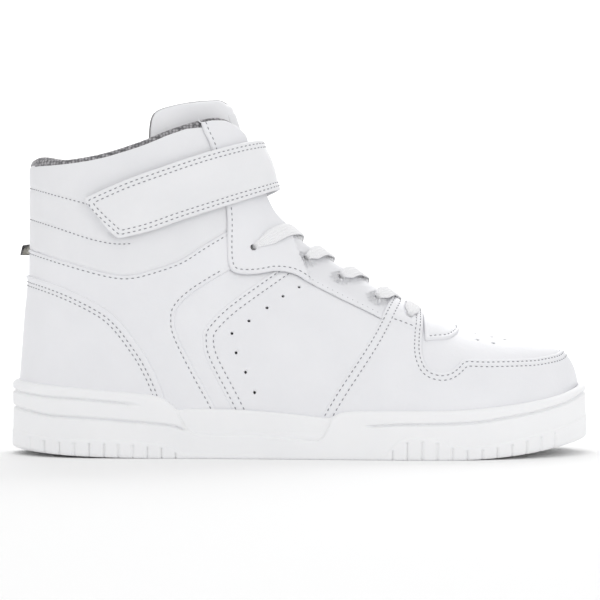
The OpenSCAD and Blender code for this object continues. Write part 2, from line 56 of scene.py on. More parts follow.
LATERAL_EDGE = [[-140, -35.5], [-100, -36.5], [-50, -39], [-10, -43], [30, -47.5], [65, -50],
                [95, -47], [139, -38]]
MEDIAL_EDGE = [[-140, 35.5], [-100, 36.5], [-50, 35.5], [-10, 37], [30, 43], [65, 48.3],
               [95, 51.4], [139, 55]]
ANKLE_HALF = [[-140, 37], [-90, 38], [-40, 36.5], [0, 34], [60, 33]]
HEEL_BACK = [[13, -138.6], [38, -136.8], [61, -135], [83, -133.6], [95, -133.79], [97, -133.8],
             [160, -133.8]]
TOE_X, TOE_ROUND, HEEL_ROUND = 139.3, 64, 44
STATIONS = [[138.6, 18, 138.9, 18.5], [131, 16.5, 139, 31], [120, 15, 136, 43.5],
            [107, 14.2, 129, 51.4], [92, 13.5, 115, 55.8], [76, 13, 98.5, 58.5], [58, 13, 80, 62],
            [36, 13, 57, 70.5], [8, 13, 34, 84], [-25, 13, 12, 97.5], [-65, 13, -3, 108.5],
            [-105, 13, -12, 118], [-138.5, 14, -17, 127.5], [-136.5, 42, -21, 138.5],
            [-133.8, 80, -25, 150], [-133.8, 115, -29.5, 163], [-133.8, 150, -35, 179]]
FULLNESS = [[0, 2.1], [4, 2.4], [8, 2.1], [10.5, 2.3], [12.5, 3.1], [16, 3.6]]


def curve(knots, x):
    """Value of the smooth curve through knots at x."""
    k = np.asarray(knots, float)
    kx, ky = k[:, 0], k[:, 1]
    x = np.clip(np.asarray(x, float), kx[0], kx[-1])
    i = np.clip(np.searchsorted(kx, x, side="right") - 1, 0, len(kx) - 2)
    m = np.empty_like(ky)
    m[1:-1] = (ky[2:] - ky[:-2]) / (kx[2:] - kx[:-2])
    m[0], m[-1] = (ky[1] - ky[0]) / (kx[1] - kx[0]), (ky[-1] - ky[-2]) / (kx[-1] - kx[-2])
    w = kx[i + 1] - kx[i]
    u = (x - kx[i]) / w
    return ((2 * u**3 - 3 * u * u + 1) * ky[i] + (u**3 - 2 * u * u + u) * w * m[i]
            + (3 * u * u - 2 * u**3) * ky[i + 1] + (u**3 - u * u) * w * m[i + 1])


def along(points, t):
    """Point at t on the smooth curve through evenly counted points."""
    p, t = np.asarray(points, float), np.asarray(t, float)
    n = len(p)
    i = np.clip(np.floor(t).astype(int), 0, n - 2)
    u = (t - i)[..., None]
    a, b, c, d = p[np.maximum(i - 1, 0)], p[i], p[i + 1], p[np.minimum(i + 2, n - 1)]
    return 0.5 * (2 * b + (c - a) * u + (2 * a - 5 * b + 4 * c - d) * u * u
                  + (3 * b - a - 3 * c + d) * u**3)


def smooth_line(points, k=6):
    """The same curve as a list, with k points for each span."""
    return along(points, np.arange((len(points) - 1) * k + 1) / k)


def ease(t):
    t = np.clip(t, 0, 1)
    return t * t * (3 - 2 * t)


def hump(t, width):
    """Smooth bump of height 1 about t = 0."""
    return np.exp(-((t / width) ** 2))


def unit(v):
    return v / np.maximum(np.linalg.norm(v, axis=-1, keepdims=True), 1e-9)


def body_at(x, z):
    """Middle and half width of the foot at a side-view point."""
    low, high = curve(LATERAL_EDGE, x), curve(MEDIAL_EDGE, x)
    k = ease((z - 30) / 75)
    toe = (1 - np.clip((TOE_X - x) / TOE_ROUND, 0, 1)) ** 2.3
    heel = (1 - np.clip((x - curve(HEEL_BACK, z)) / HEEL_ROUND, 0, 1)) ** 2.25
    half = ((high - low) / 2 * (1 - k) + curve(ANKLE_HALF, x) * k)
    return (low + high) / 2 * (1 - k), half * np.sqrt(1 - toe) * np.sqrt(1 - heel)


def skin(s, h, side):
    """Point on the upper at station s and height h (0 base or heel, 1 ridge); side -1 is lateral."""
    s, h, side = np.broadcast_arrays(*(np.asarray(v, float) for v in (s, h, side)))
    q = along(STATIONS, s)
    x = q[..., 0] + (q[..., 2] - q[..., 0]) * h
    z = q[..., 1] + (q[..., 3] - q[..., 1]) * h
    middle, half = body_at(x, z)
    e = np.sqrt(np.maximum(1 - np.maximum(h, 0) ** curve(FULLNESS, s), 0))
    return np.stack([x, middle + side * half * e, z], -1)


def find(x, z):
    """Station and height of side-view points, by halving."""
    x, z = np.broadcast_arrays(np.asarray(x, float), np.asarray(z, float))
    lo, hi = np.zeros_like(x), np.full_like(x, len(STATIONS) - 1.0)
    for _ in range(24):
        s = (lo + hi) / 2
        q = along(STATIONS, s)
        off = (q[..., 2] - q[..., 0]) * (z - q[..., 1]) - (q[..., 3] - q[..., 1]) * (x - q[..., 0])
        lo, hi = np.where(off < 0, lo, s), np.where(off < 0, s, hi)
    q = along(STATIONS, lo)
    dx, dz = q[..., 2] - q[..., 0], q[..., 3] - q[..., 1]
    h = ((x - q[..., 0]) * dx + (z - q[..., 1]) * dz) / (dx * dx + dz * dz)
    return lo, np.clip(h, 0, 1)


# ---- grids on the skin ----


def over_ridge(s0, s1, ns, nv, low):
    """Grid from the lateral edge over the ridge to the medial edge."""
    s = np.linspace(s0, s1, ns + 1)[:, None]
    v = np.linspace(-1, 1, 2 * nv + 1)[None, :]
    return skin(s, 1 - (1 - curve(low, s)) * v**2, np.sign(v))


def one_side(s0, s1, ns, nv, h0, h1, side):
    """Grid up one side only, closer together near the ridge."""
    s = np.linspace(s0, s1, ns + 1)[:, None]
    v = np.linspace(0, 1, nv + 1)[None, :]
    v = v if side < 0 else 1 - v
    return skin(s, h0 + (h1 - h0) * v * (2 - v), side)


def round_heel(z0, z1, front, ns, nv):
    """Grid from the medial edge round the heel to the lateral edge."""
    i = np.linspace(0, 1, ns + 1)[:, None]
    z = z0 + (z1 - z0) * i
    v = np.linspace(-1, 1, 2 * nv + 1)[None, :]
    a = np.stack([curve(HEEL_BACK, z) - 0.01, z], -1)
    b = along(front, i * (len(front) - 1))
    q = a + (b - a) * (v**2)[..., None]
    grid = skin(*find(q[..., 0], q[..., 1]), -np.sign(v))
    grid[:, nv] = np.stack([a[:, 0, 0], 0 * z[:, 0], z[:, 0]], -1)
    return grid


def outward(g):
    """Outward direction at every point of a grid."""
    return unit(np.cross(np.gradient(g, axis=1), np.gradient(g, axis=0)))


# ---- side-view lines ----


def to_line(x, z, line):
    """Signed distance of side-view points to a line; points left of its direction are positive."""
    p = np.stack([x, z], -1)[:, None, :]
    a, b = line[None, :-1], line[None, 1:]
    d = b - a
    t = np.clip(((p - a) * d).sum(-1) / (d * d).sum(-1), 0, 1)
    off = p - a - t[..., None] * d
    gap = np.sqrt((off**2).sum(-1))
    k = gap.argmin(1)
    rows = np.arange(len(k))
    left = d[0, k, 0] * off[rows, k, 1] - d[0, k, 1] * off[rows, k, 0]
    return np.where(left >= 0, 1, -1) * gap[rows, k]


def to_outline(x, z, outline):
    """Distance inside a closed side-view outline, negative outside."""
    ring = np.vstack([outline, outline[:1]])
    inside = np.zeros(len(x), bool)
    for (x0, z0), (x1, z1) in zip(ring[:-1], ring[1:]):
        if z0 != z1:
            crossing = (z0 > z) != (z1 > z)
            inside ^= crossing & (x < (x1 - x0) * (z - z0) / (z1 - z0) + x0)
    return np.abs(to_line(x, z, ring)) * np.where(inside, 1, -1)


def run_length(points):
    """Distance along a line at each of its points."""
    return np.concatenate([[0], np.cumsum(np.linalg.norm(np.diff(points, axis=0), axis=1))])


def resample(points, run, at):
    """Points at distances along a line."""
    return np.stack([np.interp(at, run, column) for column in points.T], -1)


# ---- patches: grids that are cut along lines and given thickness ----


def grid_quads(rows, cols):
    """Faces between the points of a grid."""
    i = np.arange(rows * cols).reshape(rows, cols)
    return np.stack([i[:-1, :-1], i[:-1, 1:], i[1:, 1:], i[1:, :-1]], -1).reshape(-1, 4)


class Patch:
    """Points with outward directions and named values, and the faces between them."""

    def __init__(self, grid):
        self.data = np.hstack([grid.reshape(-1, 3), outward(grid).reshape(-1, 3)])
        self.column = {}
        self.quads = grid_quads(*grid.shape[:2])
        self.others = []

    def add(self, name, values):
        self.column[name] = self.data.shape[1]
        self.data = np.hstack([self.data, np.asarray(values, float).reshape(-1, 1)])
        return self

    def __getitem__(self, name):
        return self.data[:, {"x": 0, "y": 1, "z": 2}.get(name, self.column.get(name))]

    def line(self, name, line, sign=1):
        return self.add(name, sign * to_line(self["x"], self["z"], line))

    def split(self, name, level, near=None):
        """Cuts the faces along a level of a value. near limits the cut to faces at those points."""
        v = self[name] - level
        v = np.where(np.abs(v) < 1e-4, 1e-4, v)
        up = v > 0
        q = up[self.quads]
        mixed = q.any(1) & ~q.all(1)
        rest = [(f, any(up[f]) and not all(up[f])) for f in self.others]
        work = self.quads[mixed].tolist() + [f for f, m in rest if m]
        self.quads = self.quads[~mixed]
        self.others = [f for f, m in rest if not m]
        cache, made, n, later = {}, [], len(self.data), []
        for f in work:
            if near is not None and not near[f].all():
                later.append(f)
                continue
            above, below = [], []
            for i, j in zip(f, f[1:] + f[:1]):
                (above if up[i] else below).append(i)
                if up[i] != up[j]:
                    key = (min(i, j), max(i, j))
                    if key not in cache:
                        t = v[i] / (v[i] - v[j])
                        cache[key] = n + len(made)
                        made.append(self.data[i] * (1 - t) + self.data[j] * t)
                    above.append(cache[key])
                    below.append(cache[key])
            self.others += [g for g in (above, below) if len(g) > 2]
        for f in later:
            g = []
            for i, j in zip(f, f[1:] + f[:1]):
                g.append(i)
                key = (min(i, j), max(i, j))
                if key in cache:
                    g.append(cache[key])
            self.others.append(g)
        if made:
            self.data = np.vstack([self.data, made])
            self.data[n:, 3:6] = unit(self.data[n:, 3:6])
        return self

    def drop(self, name, level=0.0):
        """Removes the faces whose value is below the level."""
        self.split(name, level)
        v = self[name]
        self.quads = self.quads[v[self.quads].mean(1) > level]
        self.others = [f for f in self.others if v[f].mean() > level]
        return self

    def cut(self, outline):
        """Keeps what lies inside a side-view outline; "view" is the distance to it."""
        return self.add("view", to_outline(self["x"], self["z"], outline)).drop("view")

    def levels(self, name, *levels):
        for level in levels:
            self.split(name, level)
        return self

    def holes(self, centres, radius):
        """Round holes about points on the skin."""
        for centre in centres:
            off = self.data[:, :3] - centre
            near = np.linalg.norm(off, axis=1) < radius * 3
            if not near.any():
                continue
            k = np.where(near)[0][np.linalg.norm(off[near], axis=1).argmin()]
            normal = self.data[k, 3:6]
            a = unit(np.cross(normal, [0, 0.3, 1]))
            b = np.cross(normal, a)
            for angle in np.arange(6) * math.pi / 6:
                way = math.cos(angle) * a + math.sin(angle) * b
                off = self.data[:, :3] - centre
                near = np.linalg.norm(off, axis=1) < radius * 3
                self.add("way", off @ way)
                self.split("way", 0.01, near)
                self.data = self.data[:, :-1]
                del self.column["way"]
            self.add("hole", np.linalg.norm(self.data[:, :3] - centre, axis=1))
            self.drop("hole", radius)
            self.data = self.data[:, :-1]
            del self.column["hole"]
        return self

    def chains(self, name, level):
        """Lines of points along a level that the faces were cut at."""
        on = np.abs(self[name] - level) < 1e-3
        links = {}
        for f in self.others:
            for i, j in zip(f, f[1:] + f[:1]):
                if on[i] and on[j]:
                    links.setdefault(i, set()).add(j)
                    links.setdefault(j, set()).add(i)
        found, seen = [], set()
        for start in sorted(links, key=lambda i: (len(links[i]) != 1, i)):
            if start in seen:
                continue
            chain = [start]
            seen.add(start)
            while True:
                ahead = sorted(j for j in links[chain[-1]] if j not in seen)
                if not ahead:
                    break
                chain.append(ahead[0])
                seen.add(ahead[0])
            if len(chain) > 2:
                found.append(np.array(chain))
        return found


def mesh_object(name, points, faces, material, smooth=True):
    """Blender object from points in millimetres."""
    mesh = bpy.data.meshes.new(name)
    mesh.from_pydata((np.asarray(points) * MM).tolist(), [], [list(f) for f in faces])
    mesh.validate()
    mesh.polygons.foreach_set("use_smooth", [smooth] * len(mesh.polygons))
    mesh.materials.append(material)
    mesh.update()
    obj = bpy.data.objects.new(name, mesh)
    bpy.context.scene.collection.objects.link(obj)
    return obj


def solid(name, patch, outer, inner, material):
    """Closed piece between two offsets of a patch."""
    used = np.unique(np.concatenate([patch.quads.ravel()] + [np.array(f) for f in patch.others]))
    place = np.full(len(patch.data), -1)
    place[used] = np.arange(len(used))
    faces = place[patch.quads].tolist() + [place[f].tolist() for f in patch.others]
    base, way = patch.data[used, :3], patch.data[used, 3:6]
    top = base + way * np.broadcast_to(outer, len(patch.data))[used, None]
    bottom = base + way * np.broadcast_to(inner, len(patch.data))[used, None]
    n = len(used)
    edges = {(i, j) for f in faces for i, j in zip(f, f[1:] + f[:1])}
    walls = [[j, i, i + n, j + n] for i, j in edges if (j, i) not in edges]
    walls.sort()
    under = [[i + n for i in reversed(f)] for f in faces]
    return mesh_object(name, np.vstack([top, bottom]), faces + under + walls, material)


# Distances from a panel's edge where its faces are cut, so that the edge can be rounded
EDGE_CUTS = (0.08, 0.35, 0.9)


def roll(d, radius=0.9, height=1.1):
    """Drop of a rounded edge at distance d from it."""
    t = np.clip(d / radius, 0, 1)
    return -height * (1 - np.sqrt(1 - (1 - t) ** 2))


def groove(d, at, depth=0.28, width=0.6):
    return -depth * hump(d - at, width)


def crown(d, start, span, height):
    return height * ease((d - start) / span)


def tube(name, rings, material):
    """Closed tube through rings of points."""
    n, m = rings.shape[:2]
    faces = [[i * m + k, i * m + (k + 1) % m, (i + 1) * m + (k + 1) % m, (i + 1) * m + k]
             for i in range(n - 1) for k in range(m)]
    faces += [list(range(m))[::-1], [(n - 1) * m + k for k in range(m)]]
    return mesh_object(name, rings.reshape(-1, 3), faces, material)


# ---- stitches ----

THREAD_RINGS = 5
THREAD_SIDES = 6


def stitch_shapes(points, normals, pitch=2.7, length=1.75, width=0.5, height=0.26):
    """Points and faces of thread dashes along a line; each dives into the leather at its ends."""
    run = run_length(points)
    count = int(run[-1] / pitch)
    verts, faces = [], []
    for k in range(count):
        at = (k + 0.5) * run[-1] / count
        back, middle, front = resample(points, run, at + np.array([-length / 2, 0, length / 2]))
        n = unit(resample(normals, run, at))
        t = unit(front - back)
        b = np.cross(t, n)
        start = len(verts)
        for r in range(THREAD_RINGS):
            u = -1 + 2 * (r + 0.5) / THREAD_RINGS
            c = middle + t * u * length / 2
            w = math.sqrt(1 - u * u)
            for a in np.arange(THREAD_SIDES) * 2 * math.pi / THREAD_SIDES:
                verts.append(c + b * math.cos(a) * w * width / 2
                             + n * (math.sin(a) * w * height + 0.1 - 0.25 * u * u))
        for r in range(THREAD_RINGS - 1):
            for a in range(THREAD_SIDES):
                i, j = start + r * THREAD_SIDES + a, start + r * THREAD_SIDES + (a + 1) % THREAD_SIDES
                faces.append([i, j, j + THREAD_SIDES, i + THREAD_SIDES])
        faces.append([start + a for a in reversed(range(THREAD_SIDES))])
        last = start + (THREAD_RINGS - 1) * THREAD_SIDES
        faces.append([last + a for a in range(THREAD_SIDES)])
    return verts, faces


class Sewing:
    """Collects the stitches of one piece."""

    def __init__(self):
        self.verts, self.faces = [], []

    def line(self, points, normals, **sizes):
        verts, faces = stitch_shapes(points, normals, **sizes)
        n = len(self.verts)
        self.verts += verts
        self.faces += [[i + n for i in f] for f in faces]

    def rows(self, patch, outer, name, *levels, where=None, **sizes):
        """A row of stitches along each level, on top of the patch's outer offset."""
        for level in levels:
            for chain in patch.chains(name, level):
                if where is not None:
                    chain = chain[where[chain]]
                if len(chain) > 4:
                    p, n = patch.data[chain, :3], patch.data[chain, 3:6]
                    self.line(p + n * outer[chain, None], n, **sizes)

    def make(self, name, material, body="root"):
        obj = mesh_object(name, self.verts, self.faces, material)
        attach(obj, body)
        return obj


# ---- materials ----


def settle(node, **settings):
    """Sets a node's inputs, or its own settings, by name."""
    for key, value in settings.items():
        socket = key.replace("_", " ")
        if socket in node.inputs:
            node.inputs[socket].default_value = value
        else:
            setattr(node, key, value)
    return node


class Look:
    """A material with procedural textures in the object's own space."""

    def __init__(self, name, color, roughness, **sockets):
        self.mat = bpy.data.materials.new(name)
        self.mat.use_nodes = True
        self.nodes, self.links = self.mat.node_tree.nodes, self.mat.node_tree.links
        self.shader = settle(self.nodes["Principled BSDF"], Base_Color=(*color, 1),
                             Roughness=roughness, **sockets)
        self.coords = self.node("TexCoord").outputs["Object"]
        self.relief = None

    def node(self, kind, **settings):
        return settle(self.nodes.new(f"ShaderNode{kind}"), **settings)

    def texture(self, kind, **settings):
        node = self.node(f"Tex{kind}", **settings)
        self.links.new(self.coords, node.inputs["Vector"])
        return node.outputs["Distance" if kind == "Voronoi" else "Fac"]

    def mixed(self, operation, *sources):
        """Result of a math node on the sources; a number is set as it is."""
        node = self.node("Math", operation=operation)
        for socket, source in zip(node.inputs, sources):
            if isinstance(source, float):
                socket.default_value = source
            else:
                self.links.new(source, socket)
        return node.outputs[0]

    def tint(self, source, low, high, spread=(0.3, 0.7)):
        """Base colour that wanders between two colours."""
        ramp = self.node("ValToRGB")
        for element, place_at, color in zip(ramp.color_ramp.elements, spread, (low, high)):
            element.position, element.color = place_at, (*color, 1)
        self.links.new(source, ramp.inputs["Fac"])
        self.links.new(ramp.outputs["Color"], self.shader.inputs["Base Color"])

    def rough(self, source, low, high):
        span = self.node("MapRange", To_Min=low, To_Max=high)
        self.links.new(source, span.inputs["Value"])
        self.links.new(span.outputs["Result"], self.shader.inputs["Roughness"])

    def bump(self, source, strength, distance):
        """One more layer of relief, on top of those before it."""
        node = self.node("Bump", Strength=strength, Distance=distance)
        self.links.new(source, node.inputs["Height"])
        if self.relief is not None:
            self.links.new(self.relief, node.inputs["Normal"])
        self.relief = node.outputs["Normal"]
        self.links.new(self.relief, self.shader.inputs["Normal"])
        return node


def leather_material(name, low, high, grain=900, creases=0.35):
    """Coated leather: fine pebble grain, pores, soft creases and slight colour change."""
    look = Look(name, high, 0.44, Coat_Weight=0.06, Coat_Roughness=0.35, Subsurface_Weight=0.04,
                Subsurface_Radius=(0.002, 0.0018, 0.0016))
    cloud = look.texture("Noise", Scale=38.0, Detail=4.0, Roughness=0.55)
    crease = look.texture("Noise", Scale=95.0, Detail=5.0, Roughness=0.6, Distortion=0.6)
    look.tint(cloud, low, high)
    look.rough(cloud, 0.38, 0.5)
    look.bump(crease, creases, 0.0006)
    look.bump(look.texture("Voronoi", feature="SMOOTH_F1", Scale=float(grain)), 0.22, 0.00012)
    look.bump(look.texture("Noise", Scale=2600.0, Detail=2.0), 0.15, 0.00005)
    return look.mat


def rubber_material(name, low, high):
    """Moulded rubber: matte, very fine texture, faint flow marks."""
    look = Look(name, high, 0.55, Subsurface_Weight=0.05,
                Subsurface_Radius=(0.003, 0.0028, 0.0025))
    cloud = look.texture("Noise", Scale=24.0, Detail=5.0, Roughness=0.6)
    look.tint(cloud, low, high)
    look.rough(cloud, 0.5, 0.64)
    look.bump(look.texture("Noise", Scale=1800.0, Detail=3.0), 0.2, 0.0001)
    return look.mat


def mesh_lining_material(name, low, high, scale=620):
    """Knitted spacer mesh: small cells with light threads between dark holes."""
    look = Look(name, high, 0.85, Sheen_Weight=0.25)
    cells = look.texture("Voronoi", Scale=float(scale), Randomness=0.45)
    cloud = look.texture("Noise", Scale=1500.0, Detail=3.0)
    look.tint(look.mixed("MULTIPLY_ADD", cloud, 0.35, cells), high, low, (0.35, 0.85))
    look.bump(cells, 0.6, 0.0005).invert = True
    return look.mat


def woven_material(name, low, high, scale, depth=0.0002):
    """Plain weave of fine threads."""
    look = Look(name, high, 0.8, Sheen_Weight=0.2)
    bands = [look.texture("Wave", Scale=float(scale), Distortion=0.6, bands_direction=way)
             for way in ("DIAGONAL", "Z")]
    weave = look.mixed("MULTIPLY", *bands)
    look.tint(weave, low, high, (0.0, 0.6))
    look.bump(weave, 0.5, depth)
    return look.mat


def metal_material(name):
    look = Look(name, (0.55, 0.56, 0.58), 0.35, Metallic=1.0)
    brushed = look.texture("Noise", Scale=420.0, Detail=4.0)
    look.tint(brushed, (0.5, 0.51, 0.53), (0.62, 0.63, 0.65))
    look.bump(brushed, 0.2, 0.0001)
    return look.mat


LEATHER = leather_material("white_leather", (0.80, 0.803, 0.828), (0.83, 0.832, 0.856))
SOFT_LEATHER = leather_material("soft_leather", (0.79, 0.793, 0.815), (0.82, 0.822, 0.842), 760, 0.5)
EDGE_LEATHER = leather_material("strap_leather", (0.80, 0.803, 0.822), (0.83, 0.832, 0.85), 980, 0.3)
RUBBER = rubber_material("white_rubber", (0.86, 0.863, 0.876), (0.89, 0.892, 0.902))
TREAD = rubber_material("tread_rubber", (0.8, 0.8, 0.81), (0.87, 0.87, 0.87))
LINING = mesh_lining_material("lining_mesh", (0.10, 0.098, 0.105), (0.42, 0.41, 0.425))
FOAM = mesh_lining_material("foam", (0.5, 0.48, 0.42), (0.7, 0.68, 0.6), 900)
BOARD = woven_material("board", (0.45, 0.4, 0.3), (0.62, 0.56, 0.44), 500)
LACE = woven_material("lace_cotton", (0.84, 0.84, 0.855), (0.92, 0.92, 0.93), 420)
# Stitch thread: its dark grey colour is painted shade of the stitch holes and grooves; the thread
# itself is white
THREAD_PAINTED_SHADE = woven_material("thread", (0.22, 0.225, 0.245), (0.32, 0.325, 0.35), 900)
LABEL = woven_material("label_weave", (0.8, 0.803, 0.82), (0.87, 0.872, 0.89), 700)
HOOKS = woven_material("hook_loop", (0.6, 0.6, 0.61), (0.75, 0.75, 0.76), 600, 0.0004)
STEEL = metal_material("shank_steel")


def place(obj, body, slot, *nodes):
    """Rides a piece on a body and lets it stand for CAD nodes."""
    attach(obj, body)
    if nodes:
        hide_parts(*nodes)
    return obj


def panel(name, patch, outer, inner, material=LEATHER, slot="leather", body="root"):
    """Piece between two offsets of a patch, which stands for the CAD node of the same name."""
    return place(solid(name, patch, outer, inner, material), body, slot, name)


# ---- camera, floor and lights ----

CAMERA_DISTANCE = 1.0
CAMERA_HEIGHT = 0.076


def set_stage():
    scene = bpy.context.scene
    cam = bpy.data.objects.new("camera", bpy.data.cameras.new("camera"))
    scene.collection.objects.link(cam)
    cam.data.lens, cam.data.sensor_width = 120, 36
    cam.data.clip_start = 0.05
    cam.location = (0, -CAMERA_DISTANCE, CAMERA_HEIGHT)
    cam.rotation_euler = (math.pi / 2, 0, 0)
    scene.camera = cam
    scene.view_settings.view_transform = "Standard"
    world = bpy.data.worlds.new("studio")
    world.use_nodes = True
    world.node_tree.nodes["Background"].inputs["Color"].default_value = (1, 1, 1, 1)
    world.node_tree.nodes["Background"].inputs["Strength"].default_value = 0.86
    scene.world = world
    paper = Look("floor", (0.93, 0.93, 0.93), 0.9)
    paper.tint(paper.texture("Noise", Scale=3.0, Detail=2.0), (0.925, 0.925, 0.925),
               (0.935, 0.935, 0.935))
    sweep = ((-3.0, 0), (1.2, 0), (1.5, 0.03), (1.8, 0.16), (2.0, 0.4), (2.1, 0.8), (2.15, 1.4),
             (2.15, 4.0))
    points = [(x * 1000, y * 1000, z * 1000) for y, z in sweep for x in (-4, 4)]
    faces = [[2 * i, 2 * i + 1, 2 * i + 3, 2 * i + 2] for i in range(len(sweep) - 1)]
    floor = mesh_object("floor", points, faces, paper.mat)

    def light(name, place_at, target, size, power):
        lamp = bpy.data.lights.new(name, "AREA")
        lamp.shape = "DISK"
        lamp.size, lamp.energy = size, power
        obj = bpy.data.objects.new(name, lamp)
        obj.location = place_at
        obj.rotation_euler = (Vector(target) - Vector(place_at)).to_track_quat("-Z", "Y").to_euler()
        scene.collection.objects.link(obj)

    light("top", (0.1, 0.1, 1.9), (0, 0.1, 0), 1.6, 1.0)
    light("key", (0.9, -1.5, 0.8), (0, 0, 0.06), 0.8, 3.2)
    light("fill", (-1.3, -1.1, 0.7), (0, 0, 0.06), 1.0, 0.8)
    light("back", (0.2, 1.5, 1.2), (0, 1.2, 0.1), 1.6, 14)


set_stage()

# ---- side-view outlines of the panels ----

COLLAR_TOP = smooth_line([[-140, 142.5], [-116, 142.3], [-96, 145], [-77, 151], [-63, 157],
                          [-49, 162], [-40, 164], [-33, 161.5], [-27, 155], [-20, 140]])
ANKLE_LINE = smooth_line([[-142, 104], [-124, 98], [-106, 92.5], [-92, 88.8], [-82, 88],
                          [-70, 91], [-58, 95.5], [-48, 102], [-36, 109.5]])
COUNTER_LINE = smooth_line([[-142, 91], [-116, 83], [-97, 74], [-87, 66], [-77, 53], [-72, 45],
                            [-66, 32], [-61, 14]])
HEX_OUTER = smooth_line([[-30, 93], [-36, 90], [-53, 79.5], [-61, 72], [-62.5, 66], [-61, 58],
                         [-53, 42], [-43, 24], [-36, 8]])
HEX_INNER = smooth_line([[-4, 92], [-14, 85], [-32.5, 71.5], [-42, 62], [-43.5, 57], [-41.5, 48],
                         [-31, 28], [-20, 6]])
SEAM = smooth_line([[46, 79], [42, 72], [37.9, 64.5], [33, 56.2], [24.5, 43.5], [15.5, 30],
                    [4, 10]])
TOE_EDGE = smooth_line([[131, 58], [130.5, 50.5], [118, 47.6], [107, 47], [90, 46.8], [79.5, 47],
                        [76, 44.5], [72, 41.6], [67, 40.8], [62, 42.6], [59.6, 46.5], [58.8, 52],
                        [59.5, 60], [60.5, 72]])
EYESTAY_REAR = smooth_line([[-51, 168], [-47.6, 158], [-44.5, 151], [-39, 132], [-36.5, 118],
                            [-36, 103], [-35.5, 95], [-34, 90.5], [-31, 88.6], [-26, 88],
                            [-20, 88.3], [-12, 89.5], [-3, 88], [5, 83.3], [17, 77], [32, 69.7],
                            [40, 65.6], [52, 60]])
QUILT_1 = smooth_line([[-140, 133.5], [-133, 131.3], [-119, 126.9], [-102, 122.1], [-90, 119]])
QUILT_2 = smooth_line([[-140, 118.5], [-133, 116], [-116, 110.4], [-101, 105.4], [-89, 103],
                       [-78, 103.5]])
FOOT_ROW = smooth_line([[36, 68], [44.4, 65.8], [51.2, 63.3], [59.5, 60.2]])
EYELETS = [[53, 66.5], [37.3, 75.5], [19.7, 85.8], [2.5, 95.2], [-23.5, 101]]
EYELET_RADIUS = 1.7
SIDE_HOLES = [[-0.5, 82.1], [-8.3, 77.7], [-16, 72.1], [-24.7, 65.8], [-32.8, 59.8],
              [-30.8, 50.5], [-26.2, 41.2], [-21.8, 31.6]]

BASE_IN, BASE_OUT = -1.4, -0.2
OVER_IN, OVER_OUT = 0.0, 1.2
TOP_IN, TOP_OUT = 1.4, 2.5
LINING_OUT, LINING_IN = -2.6, -3.6
SIDES = ((-1, "lateral"), (1, "medial"))


def on_skin(points, side):
    p = np.asarray(points, float)
    return skin(*find(p[:, 0], p[:, 1]), side)


# ---- the upper ----

sewing = Sewing()


def make_vamp():
    patch = Patch(over_ridge(0.12, 8.4, 110, 52, [[0, 0], [1, 0]]))
    view = np.array([[150, -5], [150, 80], [49.8, 80], [45.6, 66], [37.6, 52], [22, 30], [8, 8],
                     [8, -5]], float)
    patch.cut(view)
    columns = [87, 94.5, 102]
    rows = [-17, -8.5, 0, 8.5, 17]
    centres = []
    for i, x in enumerate(columns):
        for y in rows[1:-1] if i == 2 else rows:
            gap = np.linalg.norm(patch.data[:, :2] - [x, y], axis=1) - patch["z"] * 0.001
            centres.append(patch.data[gap.argmin(), :3])
    patch.holes(centres, 0.95)
    panel("vamp", patch, BASE_OUT, BASE_IN)


def make_mudguard():
    patch = Patch(over_ridge(0.12, 8.9, 150, 74, [[0, 0], [1, 0]]))
    view = np.vstack([TOE_EDGE, [[60, 84], [48, 84]], SEAM, [[4, -5], [150, -5], [150, 60]]])
    patch.add("view", to_outline(patch["x"], patch["z"], view))
    throat = 6.6 * ease((58 - patch["x"]) / 8)
    patch.add("throat", np.abs(patch["y"]) - throat + 0.02 + 4 * (patch["x"] > 60))
    patch.drop("view")
    patch.drop("throat")
    patch.line("toe", TOE_EDGE).line("seam", SEAM).line("foot", FOOT_ROW)
    toe_rows, seam_rows = (1.5, 3.6), (1.6, 5.0)
    patch.levels("toe", *EDGE_CUTS, 1.5, 2.5, 3.6, 4.6)
    patch.levels("seam", *EDGE_CUTS, 1.6, 3.2, 5.0, 6.2)
    patch.levels("throat", 0.3, 1.0)
    patch.levels("foot", -1.0, 0)
    d = np.minimum(np.maximum(patch["toe"], 0), np.maximum(patch["seam"], 0))
    d = np.minimum(d, np.maximum(patch["throat"], 0))
    lift = 1.5 * ease((patch["foot"] + 1.6) / 2.6) * ease((68 - patch["x"]) / 6)
    outer = OVER_OUT + lift + roll(d) + crown(d, 5.5, 14, 0.5)
    for at in toe_rows:
        outer = outer + groove(patch["toe"], at)
    for at in seam_rows:
        outer = outer + groove(patch["seam"], at)
    upper = (patch["z"] > 60) & (patch["x"] < 58.6)
    outer = outer + np.where(upper, groove(patch["foot"], 0), 0)
    patch.holes([*on_skin(EYELETS[:1], -1), *on_skin(EYELETS[:1], 1)], EYELET_RADIUS)
    outer = np.concatenate([outer, np.full(len(patch.data) - len(outer), OVER_OUT + 1.5)])
    panel("mudguard", patch, outer, OVER_IN)
    sewing.rows(patch, outer, "toe", *toe_rows, where=(patch["seam"] > 5.5))
    sewing.rows(patch, outer, "seam", *seam_rows, where=(patch["toe"] > 4.0))
    inner_part = (patch["seam"] > 5.4) & (patch["toe"] > 3.9) & (patch["x"] < 60)
    sewing.rows(patch, outer, "foot", 0.0, where=inner_part)


